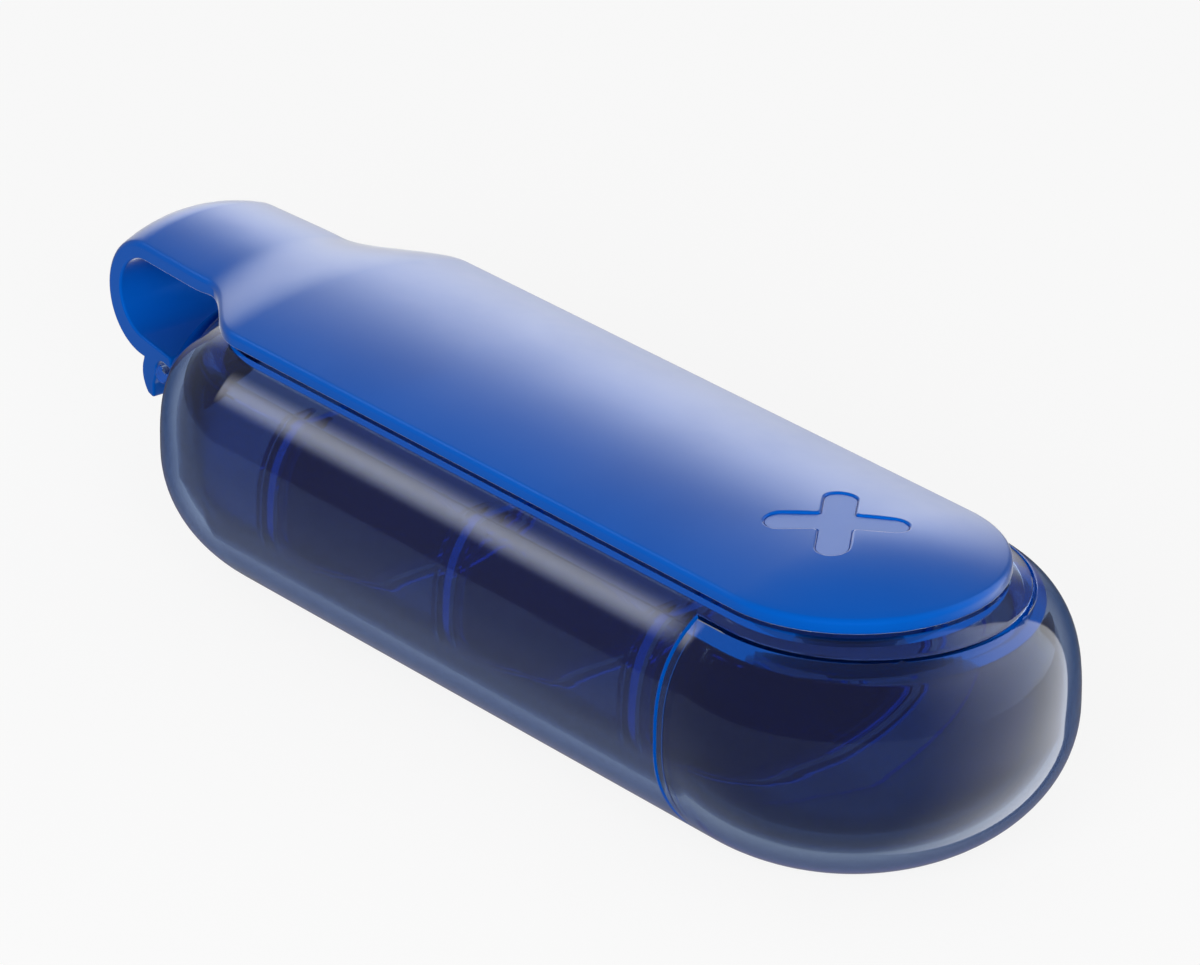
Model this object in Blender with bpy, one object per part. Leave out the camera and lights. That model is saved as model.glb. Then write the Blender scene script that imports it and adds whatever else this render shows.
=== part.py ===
"""Pocket pill organizer: a clear drawer case closed by a soft strap cover.

The case lies along X with its drawer front at +X and the carry loop at -X.
Z points up and the underside of the case rests on Z = 0. Heights in the
constants below are measured from the mid plane, where the case is widest,
and `lift` carries them to the world. All lengths are metres.
"""

import math

import bmesh
import bpy
from mathutils import Matrix, Vector

# Case outline, a stadium in plan with a full round side
case_length = 0.110
case_width = 0.0407
shell_rise = 0.0140
shell_drop = 0.01425
rise_power = 2.9
drop_power = 2.07
foot_trim = 0.00035
deck_trim = 0.00185
wall = 0.0016

# Fits shared by all neighbours, and how close two corners are to count as one
fit_gap = 0.0003
join_depth = 0.0004
weld_gap = 0.000001
level_gap = 0.00003

# Drawer front and the line it leaves on the case
front_length = 0.0229
nose_side_margin = 0.0048
nose_end_margin = 0.00415
nose_drop = 0.0032
cut_margin = 0.006

# Mouth under the cover, its left arc centred this far in from the loop end
mouth_radius = 0.0110
mouth_in = 0.0260
rim_inset = 0.0002

# Tray inside the sleeve
tray_wall = 0.0012
tray_clearance = 0.00155
slot_pitch = 0.0265
slot_count = 3
plate_thickness = 0.0012
plate_drop = 0.0008
plate_corner = 0.0012
rib_width = 0.0008
rib_depth = 0.0009
rib_drop = 0.0005

# Soft cover plate
cover_width = 0.0280
cover_edge = 0.0013
cover_crown = 0.0023
edge_round = 0.00045
cover_top_shares = (0.0, 0.22, 0.42, 0.6, 0.75, 0.87, 0.965)
cover_rim_shares = ((0.992, 0.35), (1.0, 1.0))
cover_foot_shares = ((1.0, 0.5), (0.99, 0.0), (0.0, 0.0))
shoulder_in = 0.0170
neck_in = 0.0050
neck_width = 0.0166
strap_crown = 0.0016
skirt_wall = 0.0012
skirt_depth = 0.0020
skirt_lead = 0.0004

# Cross pressed into the cover, centred this far in from the drawer end
cross_in = 0.0226
cross_length = 0.0129
cross_width = 0.0031
cross_depth = 0.00045

# Neck pad that stays on the case, between the two bending lines
cover_bend_in = 0.0100
loop_bend_in = 0.0035
bend_rise = 0.0001
stud_in = 0.0083
stud_radius = 0.0015
stud_head_radius = 0.0019
stud_head_height = 0.0006

# Carry loop: an eye of growing thickness, its hook tail and its pull tab
loop_taper = 0.0008
strap_edge = 0.0016
strap_end = 0.00205
eye_out = 0.0056
eye_radius = 0.0041
eye_turn = math.radians(172.0)
notch_turn = math.radians(177.0)
crown_start = math.radians(250.0)
crown_full = math.radians(135.0)
tail_length = 0.0048
side_round = 0.00035
strap_across_shares = (-1.0, -0.955, -0.75, -0.4, 0.0, 0.4, 0.75, 0.955, 1.0)
lip_reach = 0.0003
lip_foot = 0.0002
tab_radius = 0.0031
tab_back = 0.00045
tab_drop = 0.0007
tab_start = math.radians(152.0)
tab_end = math.radians(233.0)
tab_gape = 0.0007
tab_reach = 0.0031
tab_inner_shares = ((1.0, 0.5), (1.0, 0.72), (0.6, 0.92), (1.15, 1.02))

# Clear rail on the end of the case that the tail hooks over
rail_out = 0.0029
rail_height = 0.0012
rail_radius = 0.0009
web_half = 0.00045
groove_start = math.radians(52.0)
groove_end = math.radians(215.0)

# How finely round shapes are cut
arc_steps = 16
rim_steps = 19
rise_steps = 6
drop_steps = 7
small_steps = 12
shoulder_steps = 7
groove_steps = 7
tab_steps = 6
pad_columns = 5
rail_columns = 9
sharp_angle = math.radians(38.0)

# Derived once
case_radius = case_width / 2
case_end = case_length / 2
spine_x = case_end - case_radius
rim_x = spine_x - rim_inset
lift = shell_drop - foot_trim
deck_height = shell_rise - deck_trim
seam_x = case_end - front_length
nose_radius = case_radius - nose_side_margin
nose_x = case_end - nose_end_margin - nose_radius
nose_cut_height = deck_height - nose_drop
mouth_left_x = mouth_in - case_end
tray_height = deck_height - wall - tray_clearance
shoulder_x = shoulder_in - case_end
neck_x = neck_in - case_end
cross_x = case_end - cross_in
cover_bend_x = cover_bend_in - case_end
loop_bend_x = loop_bend_in - case_end
stud_x = stud_in - case_end
eye_x = -case_end - eye_out
rail_x = -case_end - rail_out
rail_length = neck_width
loop_width = neck_width - loop_taper
cover_radius = cover_width / 2
cover_base = deck_height + fit_gap
cover_rim = cover_base + cover_edge
strap_base = cover_rim - strap_edge


def fresh_start():
    """Empty the file of every object it opened with."""
    for old in list(bpy.data.objects):
        bpy.data.objects.remove(old, do_unlink=True)


def make_material(name, colour, roughness, transmission=0.0, alpha=1.0):
    """Return a plain Principled material."""
    material = bpy.data.materials.new(name)
    material.use_nodes = True
    shader = material.node_tree.nodes["Principled BSDF"]
    shader.inputs["Base Color"].default_value = (*colour, 1.0)
    shader.inputs["Roughness"].default_value = roughness
    shader.inputs["Transmission Weight"].default_value = transmission
    shader.inputs["Alpha"].default_value = alpha
    material.diffuse_color = (*colour, alpha)
    return material


def finish(name, bm, material, pivot=(0.0, 0.0, 0.0)):
    """Turn a bmesh into a smooth shaded object whose origin is the pivot."""
    bmesh.ops.remove_doubles(bm, verts=bm.verts, dist=weld_gap)
    bmesh.ops.recalc_face_normals(bm, faces=bm.faces)
    bmesh.ops.translate(bm, verts=bm.verts, vec=-Vector(pivot))
    mesh = bpy.data.meshes.new(name)
    bm.to_mesh(mesh)
    bm.free()
    mesh.materials.append(material)
    mesh.shade_smooth()
    mesh.set_sharp_from_angle(angle=sharp_angle)
    part = bpy.data.objects.new(name, mesh)
    part.location = pivot
    bpy.context.scene.collection.objects.link(part)
    return part


def make_cutter(name, bm):
    """Turn a bmesh into a hidden helper body for a boolean."""
    bmesh.ops.remove_doubles(bm, verts=bm.verts, dist=weld_gap)
    bmesh.ops.recalc_face_normals(bm, faces=bm.faces)
    mesh = bpy.data.meshes.new(name)
    bm.to_mesh(mesh)
    bm.free()
    cutter = bpy.data.objects.new(name, mesh)
    cutter.hide_render = True
    cutter.display_type = "WIRE"
    bpy.context.scene.collection.objects.link(cutter)
    return cutter


def combine(part, helper, operation):
    """Add one exact boolean to a part."""
    step = part.modifiers.new(helper.name, "BOOLEAN")
    step.operation = operation
    step.solver = "EXACT"
    step.object = helper


def super_reach(height, radius, rise, drop):
    """Return how far the case side stands out at one height."""
    power = rise_power if height > 0 else drop_power
    half = rise if height > 0 else drop
    share = min(abs(height) / half, 1.0)
    return radius * (1.0 - share ** power) ** (1.0 / power)


def side_profile(inset, top, floor):
    """Return (reach, height) points of the case side from floor to top.

    The side is moved inwards by the inset, and its heights are spread by
    angle so that the tight parts of the curve get the closest points.
    """
    radius = case_radius - inset
    rise = shell_rise - inset
    drop = shell_drop - inset
    points = []
    start = math.asin(min(1.0, (-floor / drop) ** (drop_power / 2)))
    for step in range(drop_steps):
        angle = start * (1.0 - step / drop_steps)
        height = -drop * math.sin(angle) ** (2 / drop_power)
        points.append((super_reach(height, radius, rise, drop), height))
    end = math.asin(min(1.0, (top / rise) ** (rise_power / 2)))
    for step in range(rise_steps + 1):
        angle = end * step / rise_steps
        height = rise * math.sin(angle) ** (2 / rise_power)
        points.append((super_reach(height, radius, rise, drop), height))
    return points


def floor_height(inset):
    """Return the flat underside height of a body moved in by the inset."""
    return -(shell_drop - inset - foot_trim)


def chain(bm, points, x):
    """Lay a chain of edges on the near side of the case at one x."""
    verts = [bm.verts.new((x, -reach, height + lift)) for reach, height in points]
    return verts, [bm.edges.new(pair) for pair in zip(verts, verts[1:])]


def sweep(bm, points, left_x=-spine_x, right_x=spine_x, steps=arc_steps, closed=False):
    """Run a side profile once around a stadium and fill its open rims."""
    verts, edges = chain(bm, points, right_x)
    if closed:
        edges.append(bm.edges.new((verts[-1], verts[0])))
    geom = verts + edges
    for centre, shift in ((right_x, left_x - right_x), (left_x, right_x - left_x)):
        turned = bmesh.ops.spin(bm, geom=geom, cent=(centre, 0.0, 0.0), axis=(0.0, 0.0, 1.0),
                                angle=math.pi, steps=steps, use_duplicate=False)
        last = [item for item in turned["geom_last"] if isinstance(item, bmesh.types.BMEdge)]
        drawn = bmesh.ops.extrude_edge_only(bm, edges=last)
        geom = [item for item in drawn["geom"] if not isinstance(item, bmesh.types.BMFace)]
        moved = [item for item in geom if isinstance(item, bmesh.types.BMVert)]
        bmesh.ops.translate(bm, verts=moved, vec=(shift, 0.0, 0.0))
    bmesh.ops.remove_doubles(bm, verts=bm.verts, dist=weld_gap)
    if not closed:
        rims = [edge for edge in bm.edges if edge.is_boundary]
        bmesh.ops.holes_fill(bm, edges=rims, sides=0)


def prism(radius, left_x, right_x, low, high):
    """Return a stadium prism as a bmesh."""
    bm = bmesh.new()
    sweep(bm, [(radius, low), (radius, high)], left_x, right_x, rim_steps)
    return bm


def box(low, high):
    """Return a box between two corners as a bmesh."""
    bm = bmesh.new()
    size = Vector(high) - Vector(low)
    centre = (Vector(high) + Vector(low)) / 2
    bmesh.ops.create_cube(bm, size=1.0, matrix=Matrix.Translation(centre) @ Matrix.Diagonal((*size, 1.0)))
    return bm


def shaped_grid(columns, rows, place, closed=False):
    """Return a grid whose corners are moved to place(column, row).

    With closed set, the last row meets the first one and the two open ends
    are filled.
    """
    bm = bmesh.new()
    bmesh.ops.create_grid(bm, x_segments=columns - 1, y_segments=rows - 1, size=1.0)
    for vert in bm.verts:
        column = round((vert.co.x + 1) / 2 * (columns - 1))
        row = round((vert.co.y + 1) / 2 * (rows - 1))
        vert.co = place(column, row)
    bmesh.ops.remove_doubles(bm, verts=bm.verts, dist=weld_gap)
    if closed:
        rims = [edge for edge in bm.edges if edge.is_boundary]
        bmesh.ops.holes_fill(bm, edges=rims, sides=0)
    return bm


def smooth_share(value, start, end):
    """Return an S curve from 0 at start to 1 at end."""
    share = min(max((value - start) / (end - start), 0.0), 1.0)
    return share * share * (3.0 - 2.0 * share)


def cover_half(x):
    """Return half the cover's width at one x, through its shoulders."""
    share = smooth_share(x, neck_x, shoulder_x)
    return neck_width / 2 + (cover_radius - neck_width / 2) * share


def crown_at(x):
    """Return how far the middle of the cover stands above its rim."""
    share = smooth_share(x, neck_x, shoulder_x)
    return strap_crown + (cover_crown - strap_crown) * share


def cover_profile():
    """Return (inset from the edge, share of the crown, height) for one half.

    The list runs from the middle of the top, over the rounded rim and back
    under the plate to the middle of the underside.
    """
    points = [(share, 1.0 - share * share, cover_rim) for share in cover_top_shares]
    points += [(share, 0.0, cover_rim - edge_round * down) for share, down in cover_rim_shares]
    points += [(share, 0.0, cover_base + edge_round * up) for share, up in cover_foot_shares]
    return points


def cover_point(x, angle, item):
    """Return one point of the cover: beside the spine or round its tip."""
    share, crown_share, height = item
    reach = cover_half(x) * share
    z = height + crown_at(x) * crown_share + lift
    if angle is None:
        return Vector((x, -reach, z))
    return Vector((x + reach * math.cos(angle), reach * math.sin(angle), z))


def build_cover(material):
    """Model the soft cover plate with its plug skirt and pressed cross.

    The plate is crowned across its width and along the round tip, narrows
    through two S shaped shoulders to the neck and ends at the bending line.
    """
    profile = cover_profile()
    start_x = cover_bend_x + fit_gap / 2
    xs = [start_x + (shoulder_x - start_x) * step / shoulder_steps for step in range(shoulder_steps + 1)]
    stations = [(x, -math.pi / 2) for x in xs]
    for step in range(arc_steps + 1):
        stations.append((spine_x, -math.pi / 2 + math.pi * step / arc_steps))
    stations += [(x, math.pi / 2) for x in reversed(xs)]
    bm = shaped_grid(len(stations), len(profile),
                     lambda column, row: cover_point(*stations[column], profile[row]), closed=True)
    pivot = (cover_bend_x, 0.0, cover_rim + crown_at(cover_bend_x) + bend_rise + lift)
    cover = finish("lid_cover", bm, material, pivot)

    skirt = bmesh.new()
    outer = mouth_radius - fit_gap
    inner = outer - skirt_wall
    low = cover_base - skirt_depth
    high = cover_base + join_depth
    ring = [(inner, low), (outer - skirt_lead, low), (outer, low + skirt_lead), (outer, high), (inner, high)]
    sweep(skirt, ring, mouth_left_x, rim_x, rim_steps, closed=True)
    combine(cover, make_cutter("skirt_body", skirt), "UNION")
    combine(cover, make_cutter("cross_cut", cross_outline()), "DIFFERENCE")
    return cover


def cross_outline():
    """Return the cross as a prism: four round ended arms turned by 45 deg."""
    bm = bmesh.new()
    half = cross_width / 2
    straight = cross_length / 2 - half
    points = []
    for arm in range(4):
        turn = Matrix.Rotation(math.radians(45.0 + 90.0 * arm), 4, "Z")
        for step in range(small_steps // 2 + 1):
            angle = -math.pi / 2 + math.pi * step / (small_steps // 2)
            spot = Vector((straight + half * math.cos(angle), half * math.sin(angle), 0.0))
            points.append(turn @ spot)
        points.append(turn @ Vector((half, half, 0.0)))
    low = cover_rim + cover_crown - cross_depth + lift
    verts = [bm.verts.new((spot.x + cross_x, spot.y, low)) for spot in points]
    face = bm.faces.new(verts)
    tall = bmesh.ops.extrude_face_region(bm, geom=[face])
    raised = [item for item in tall["geom"] if isinstance(item, bmesh.types.BMVert)]
    bmesh.ops.translate(bm, verts=raised, vec=(0.0, 0.0, cut_margin))
    return bm


def build_neck_pad(material):
    """Model the neck of the moulding that stays on the case with its stud."""
    profile = cover_profile()
    ring = [(-share, crown, height) for share, crown, height in profile]
    ring += [(share, crown, height) for share, crown, height in reversed(profile)][1:]
    start_x = loop_bend_x + fit_gap / 2
    end_x = cover_bend_x - fit_gap / 2

    def place(column, row):
        x = start_x + (end_x - start_x) * column / (pad_columns - 1)
        share, crown, height = ring[row]
        return Vector((x, cover_half(x) * share, height + crown_at(x) * crown + lift))

    pad = finish("neck_pad", shaped_grid(pad_columns, len(ring), place, closed=True), material)
    stud = bmesh.new()
    head_top = deck_height - wall - 2 * fit_gap
    head_low = head_top - stud_head_height
    outline = [(stud_radius, cover_base + join_depth), (stud_radius, head_top),
               (stud_head_radius, head_top), (stud_radius, head_low)]
    verts = [stud.verts.new((stud_x + reach, 0.0, height + lift)) for reach, height in outline]
    edges = [stud.edges.new(pair) for pair in zip(verts, verts[1:])]
    bmesh.ops.spin(stud, geom=verts + edges, cent=(stud_x, 0.0, 0.0), axis=(0.0, 0.0, 1.0),
                   angle=2 * math.pi, steps=small_steps, use_merge=True)
    bmesh.ops.remove_doubles(stud, verts=stud.verts, dist=weld_gap)
    rims = [edge for edge in stud.edges if edge.is_boundary]
    bmesh.ops.holes_fill(stud, edges=rims, sides=0)
    combine(pad, make_cutter("stud_body", stud), "UNION")
    return pad


def arc_points(centre, radius, start, end, steps):
    """Return points of an arc in the XZ plane, both ends included."""
    points = []
    for step in range(steps + 1):
        angle = start + (end - start) * step / steps
        points.append((centre[0] + radius * math.cos(angle), centre[1] + radius * math.sin(angle)))
    return points


def tab_outline(groove_end):
    """Return the pull tab below the groove: inner face, tip, outer arc."""
    points = []
    for gape_share, reach_share in tab_inner_shares:
        points.append((groove_end[0] - tab_gape * gape_share, rail_height - tab_reach * reach_share))
    centre = (rail_x - tab_back, rail_height - tab_drop)
    return points + arc_points(centre, tab_radius, tab_end, tab_start, tab_steps)


def loop_outline():
    """Return the loop seen from the side as (x, height, crown share).

    It runs along the inner face from the neck round the eye to the tail,
    around the lip, the groove for the rail and the pull tab, and back along
    the outer face, whose centre is set off so that the strap thickens.
    """
    start_x = loop_bend_x - fit_gap / 2
    eye = (eye_x, strap_base - eye_radius)
    stop = math.pi / 2 + eye_turn
    heading = eye_turn - math.pi
    inner = [(start_x, strap_base)] + arc_points(eye, eye_radius, math.pi / 2, stop, arc_steps)
    end_x, end_z = inner[-1]
    tip_x = end_x + tail_length * math.cos(heading)
    tip_z = end_z + tail_length * math.sin(heading)
    groove = arc_points((rail_x, rail_height), rail_radius + fit_gap, groove_start, groove_end, groove_steps)
    lip = [(tip_x, tip_z), (tip_x + lip_reach, tip_z - lip_reach), (tip_x, groove[0][1] + lip_foot)]
    outline = [(x, z, 0.0) for x, z in inner + lip + groove + tab_outline(groove[-1])]
    offset = (strap_end - strap_edge) / 2
    outer_eye = (eye[0] - offset, eye[1] - offset)
    radius = eye_radius + strap_edge + offset
    back = arc_points(outer_eye, radius, math.pi / 2 + notch_turn, math.pi / 2, arc_steps)
    for step, (x, z) in enumerate(back):
        angle = math.pi / 2 + notch_turn * (1.0 - step / arc_steps)
        outline.append((x, z, smooth_share(-angle, -crown_start, -crown_full)))
    outline.append((start_x, cover_rim, 1.0))
    return outline


def outward(outline, index):
    """Return the outward direction of an outline corner in the XZ plane."""
    count = len(outline)
    before = Vector(outline[index - 1][:2])
    here = Vector(outline[index][:2])
    after = Vector(outline[(index + 1) % count][:2])
    along = ((here - before).normalized() + (after - here).normalized()).normalized()
    return Vector((along.y, -along.x))


def loop_half(x):
    """Return half the strap's width at one x."""
    share = smooth_share(-x, -loop_bend_x, -eye_x)
    return (neck_width + (loop_width - neck_width) * share) / 2


def build_loop(material):
    """Model the carry loop: strap, hook tail with its groove, pull tab."""
    outline = loop_outline()
    turn = sum(a[0] * b[1] - b[0] * a[1] for a, b in zip(outline, outline[1:] + outline[:1]))
    side = 1.0 if turn > 0 else -1.0

    def place(column, row):
        index = row % len(outline)
        x, z, crown = outline[index]
        share = strap_across_shares[column]
        normal = outward(outline, index) * side
        shift = strap_crown * crown * (1.0 - share * share)
        if index in (0, len(outline) - 1):
            normal = Vector((0.0, 1.0 if index else -1.0))
        if abs(share) == 1.0:
            shift -= side_round
        y = loop_half(x) * share
        return Vector((x + normal.x * shift, y, z + normal.y * shift + lift))

    bm = shaped_grid(len(strap_across_shares), len(outline) + 1, place, closed=True)
    pivot = (loop_bend_x, 0.0, cover_rim + strap_crown + bend_rise + lift)
    return finish("carry_loop", bm, material, pivot)


def build_rail(material):
    """Model the clear rail that stands off the end of the case."""
    wrap = math.asin(web_half / rail_radius)
    bead = arc_points((rail_x, rail_height), rail_radius, wrap, 2 * math.pi - wrap, small_steps)
    outline = [(None, rail_height + web_half)] + bead + [(None, rail_height - web_half)]
    stand = case_radius + fit_gap

    def place(column, row):
        y = rail_length * (column / (rail_columns - 1) - 0.5)
        x, z = outline[row % len(outline)]
        if x is None:
            x = -spine_x - math.sqrt(stand * stand - y * y)
        return Vector((x, y, z + lift))

    bm = shaped_grid(rail_columns, len(outline) + 1, place, closed=True)
    return finish("hitch_rail", bm, material)


def build_shell(material):
    """Model the sleeve: hollow case with mouth, deck nose and open end."""
    bm = bmesh.new()
    sweep(bm, side_profile(0.0, deck_height, floor_height(0.0)))
    shell = finish("outer_shell", bm, material)
    cavity = bmesh.new()
    sweep(cavity, side_profile(wall, deck_height - wall, floor_height(wall)))
    combine(shell, make_cutter("sleeve_cavity", cavity), "DIFFERENCE")
    mouth = prism(mouth_radius, mouth_left_x, rim_x, deck_height - wall - cut_margin,
                  deck_height + cut_margin)
    spot = Matrix.Translation((stud_x, 0.0, deck_height + lift))
    bmesh.ops.create_cone(mouth, cap_ends=True, segments=small_steps, radius1=stud_radius + fit_gap,
                          radius2=stud_radius + fit_gap, depth=cut_margin, matrix=spot)
    combine(shell, make_cutter("deck_openings", mouth), "DIFFERENCE")
    seam = seam_x - fit_gap / 2
    far = case_length / 2 + cut_margin
    relief = make_cutter("front_relief", box((seam, -case_width, -cut_margin),
                                             (far, case_width, 2 * shell_rise + cut_margin)))
    keep = prism(nose_radius - fit_gap / 2, seam_x - case_radius, nose_x, nose_cut_height,
                 shell_rise + 2 * cut_margin)
    combine(relief, make_cutter("nose_keep", keep), "DIFFERENCE")
    combine(shell, relief, "DIFFERENCE")
    return shell


def build_front(material, pivot):
    """Model the clear drawer front that closes the open end."""
    bm = bmesh.new()
    sweep(bm, side_profile(0.0, deck_height, floor_height(0.0)))
    front = finish("tray_front", bm, material, pivot)
    hollow = bmesh.new()
    sweep(hollow, side_profile(wall, deck_height - wall, floor_height(wall)))
    combine(front, make_cutter("front_cavity", hollow), "DIFFERENCE")
    well = prism(nose_radius + fit_gap / 2, -spine_x, nose_x, nose_cut_height - fit_gap / 2,
                 shell_rise + 2 * cut_margin)
    combine(front, make_cutter("nose_well", well), "DIFFERENCE")
    far = -case_length / 2 - cut_margin
    rear = box((far, -case_width, -cut_margin),
               (seam_x + fit_gap / 2, case_width, 2 * shell_rise + cut_margin))
    combine(front, make_cutter("front_rear_cut", rear), "DIFFERENCE")
    return front


def section(points, top):
    """Return a full cross section, both sides, cut flat at one height."""
    kept = [point for point in points if point[1] <= top]
    near = [(-reach, height) for reach, height in reversed(kept)]
    far = [(reach, height) for reach, height in kept]
    return near + far


def plate(outline, x, thickness):
    """Return a flat plate across the case from a (y, height) outline."""
    bm = bmesh.new()
    verts = [bm.verts.new((x - thickness / 2, y, height + lift)) for y, height in outline]
    face = bm.faces.new(verts)
    deep = bmesh.ops.extrude_face_region(bm, geom=[face])
    moved = [item for item in deep["geom"] if isinstance(item, bmesh.types.BMVert)]
    bmesh.ops.translate(bm, verts=moved, vec=(thickness, 0.0, 0.0))
    return bm


def slot_places():
    """Return the x of every divider slot."""
    return [slot_pitch * (index - (slot_count - 1) / 2) for index in range(slot_count)]


def build_tray(material, pivot):
    """Model the tray: one round ended tub with paired ribs for dividers."""
    outer_inset = wall + fit_gap
    inner_inset = outer_inset + tray_wall
    outer = side_profile(outer_inset, tray_height, floor_height(outer_inset))
    inner = side_profile(inner_inset, tray_height, floor_height(inner_inset))
    bm = bmesh.new()
    sweep(bm, outer + list(reversed(inner)))
    tray = finish("inner_tray", bm, material, pivot)
    ribs = bmesh.new()
    top = tray_height - rib_drop
    root = side_profile(inner_inset - tray_wall / 2, top, floor_height(inner_inset - tray_wall / 2))
    crest = side_profile(inner_inset + rib_depth, top, floor_height(inner_inset + rib_depth))
    outline = section(root, top) + list(reversed(section(crest, top)))
    offset = plate_thickness / 2 + fit_gap + rib_width / 2
    for x in slot_places():
        for shift in (-offset, offset):
            rib = plate(outline, x + shift, rib_width)
            mesh = bpy.data.meshes.new("rib")
            rib.to_mesh(mesh)
            rib.free()
            ribs.from_mesh(mesh)
            bpy.data.meshes.remove(mesh)
    combine(tray, make_cutter("rib_set", ribs), "UNION")
    return tray


def build_divider(index, x, material, pivot):
    """Model one drop-in divider plate with rounded upper corners."""
    inset = wall + fit_gap + tray_wall + fit_gap
    top = tray_height - plate_drop
    outline = section(side_profile(inset, top, floor_height(inset)), top)
    bm = plate(outline, x, plate_thickness)
    limit = top + lift - level_gap
    corners = [edge for edge in bm.edges
               if min(vert.co.z for vert in edge.verts) > limit
               and abs(edge.verts[0].co.y - edge.verts[1].co.y) < level_gap]
    bmesh.ops.bevel(bm, geom=corners, offset=plate_corner, offset_type="OFFSET", segments=3,
                    profile=0.5, affect="EDGES")
    return finish("divider_%d" % (index + 1), bm, material, pivot)


def hang(parts, name, pivot):
    """Hang parts on an empty that marks the axis of their joint."""
    mark = bpy.data.objects.new(name, None)
    mark.location = pivot
    mark.empty_display_size = case_radius
    bpy.context.scene.collection.objects.link(mark)
    for part in parts:
        part.parent = mark
        part.location = part.location - Vector(pivot)
    return mark


def build_all():
    """Build every sub-part in its place."""
    fresh_start()
    clear_case = make_material("clear_navy_case", (0.030, 0.045, 0.16), 0.04, 0.9, 0.45)
    clear_tray = make_material("clear_navy_tray", (0.045, 0.07, 0.24), 0.08, 0.85, 0.5)
    soft_blue = make_material("soft_blue_cover", (0.0, 0.085, 0.46), 0.42)
    drawer_axis = (seam_x, 0.0, lift)
    build_shell(clear_case)
    build_rail(clear_case)
    build_neck_pad(soft_blue)
    moving = [build_tray(clear_tray, drawer_axis), build_front(clear_case, drawer_axis)]
    for index, x in enumerate(slot_places()):
        moving.append(build_divider(index, x, clear_tray, drawer_axis))
    hang(moving, "tray_axis", drawer_axis)
    cover = build_cover(soft_blue)
    hang([cover], "cover_axis", tuple(cover.location))
    loop = build_loop(soft_blue)
    hang([loop], "loop_axis", tuple(loop.location))


build_all()
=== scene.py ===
"""Looks of a pocket pill organizer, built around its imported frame.

The case lies along X with its drawer front at +X and the carry loop at -X, and
it rests on Z = 0. The clear case, its tray and the soft moulding are modelled
as fine meshes in the places that the frame's solids hold. Lengths are metres.
Heights in the dataclasses are measured from the mid plane, where the case is
widest, and `lift` carries them to the world.
"""

import logging
import math
from collections.abc import Callable, Iterable
from dataclasses import dataclass
from enum import Enum

import bmesh
import bpy
from mathutils import Matrix, Vector


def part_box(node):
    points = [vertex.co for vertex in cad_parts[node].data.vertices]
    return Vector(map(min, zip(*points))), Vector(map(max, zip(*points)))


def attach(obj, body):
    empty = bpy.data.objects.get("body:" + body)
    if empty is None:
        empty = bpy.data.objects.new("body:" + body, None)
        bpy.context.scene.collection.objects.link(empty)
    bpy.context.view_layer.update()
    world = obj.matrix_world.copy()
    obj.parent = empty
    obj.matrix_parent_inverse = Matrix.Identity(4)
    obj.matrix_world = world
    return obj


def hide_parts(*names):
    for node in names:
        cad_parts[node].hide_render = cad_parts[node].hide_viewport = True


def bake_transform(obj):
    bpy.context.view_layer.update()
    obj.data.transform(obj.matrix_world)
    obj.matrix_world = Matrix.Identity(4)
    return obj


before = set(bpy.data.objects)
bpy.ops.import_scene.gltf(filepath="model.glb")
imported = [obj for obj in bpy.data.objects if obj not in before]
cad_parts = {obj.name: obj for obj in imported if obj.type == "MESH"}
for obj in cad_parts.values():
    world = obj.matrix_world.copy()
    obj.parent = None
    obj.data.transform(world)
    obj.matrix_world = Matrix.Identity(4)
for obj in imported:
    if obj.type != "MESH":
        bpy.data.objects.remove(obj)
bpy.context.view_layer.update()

log = logging.getLogger("pill_organizer")

WELD = 1e-6
OVERRUN = 0.006
SHARP_ANGLE = math.radians(17.0)
SOFT_SHARP_ANGLE = math.radians(32.0)
CREASE_ANGLE = math.radians(6.0)
RIM_ANGLE = math.radians(40.0)
CORNER_POINTS = 3
NODE_STEP = 220.0
NUMBER = "NodeSocketFloat"
COLOUR = "NodeSocketColor"
WHITE = (1.0, 1.0, 1.0, 1.0)
BLACK = (0.0, 0.0, 0.0, 1.0)

Pair = tuple[float, float]
Colour = tuple[float, float, float]
Material = bpy.types.Material
Piece = bpy.types.Object


class Body(Enum):
    """The moving bodies of the frame."""

    CASE = "case"
    TRAY = "tray"
    LID = "lid"
    LOOP = "loop"


class Slot(Enum):
    """The material slots that the finishes belong to."""

    CASE = "clear_case"
    TRAY = "clear_tray"
    SOFT = "soft_cover"


class Cut(Enum):
    """How one mesh acts on another."""

    TAKE_AWAY = "DIFFERENCE"
    ADD = "UNION"


def smooth_share(value: float, start: float, end: float) -> float:
    """Return an S curve from 0 at start to 1 at end.

    Args:
        value: where the curve is read.
        start: the value at which it leaves 0.
        end: the value at which it reaches 1.

    Returns:
        The eased share.
    """
    share = min(max((value - start) / (end - start), 0.0), 1.0)
    return share * share * (3.0 - 2.0 * share)


def spread(start: float, end: float, count: int) -> list[float]:
    """Return count + 1 evenly spaced values from start to end."""
    return [start + (end - start) * step / count for step in range(count + 1)]


def arc(centre: Pair, radius: float, start: float, end: float, steps: int) -> list[Pair]:
    """Return points of an arc in a plane, both ends included.

    Args:
        centre: the arc's centre.
        radius: its radius.
        start: the first angle, in degrees.
        end: the last angle, in degrees.
        steps: how many chords it has.

    Returns:
        The points in order.
    """
    turns = [math.radians(angle) for angle in spread(start, end, steps)]
    return [(centre[0] + radius * math.cos(turn), centre[1] + radius * math.sin(turn)) for turn in turns]


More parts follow.
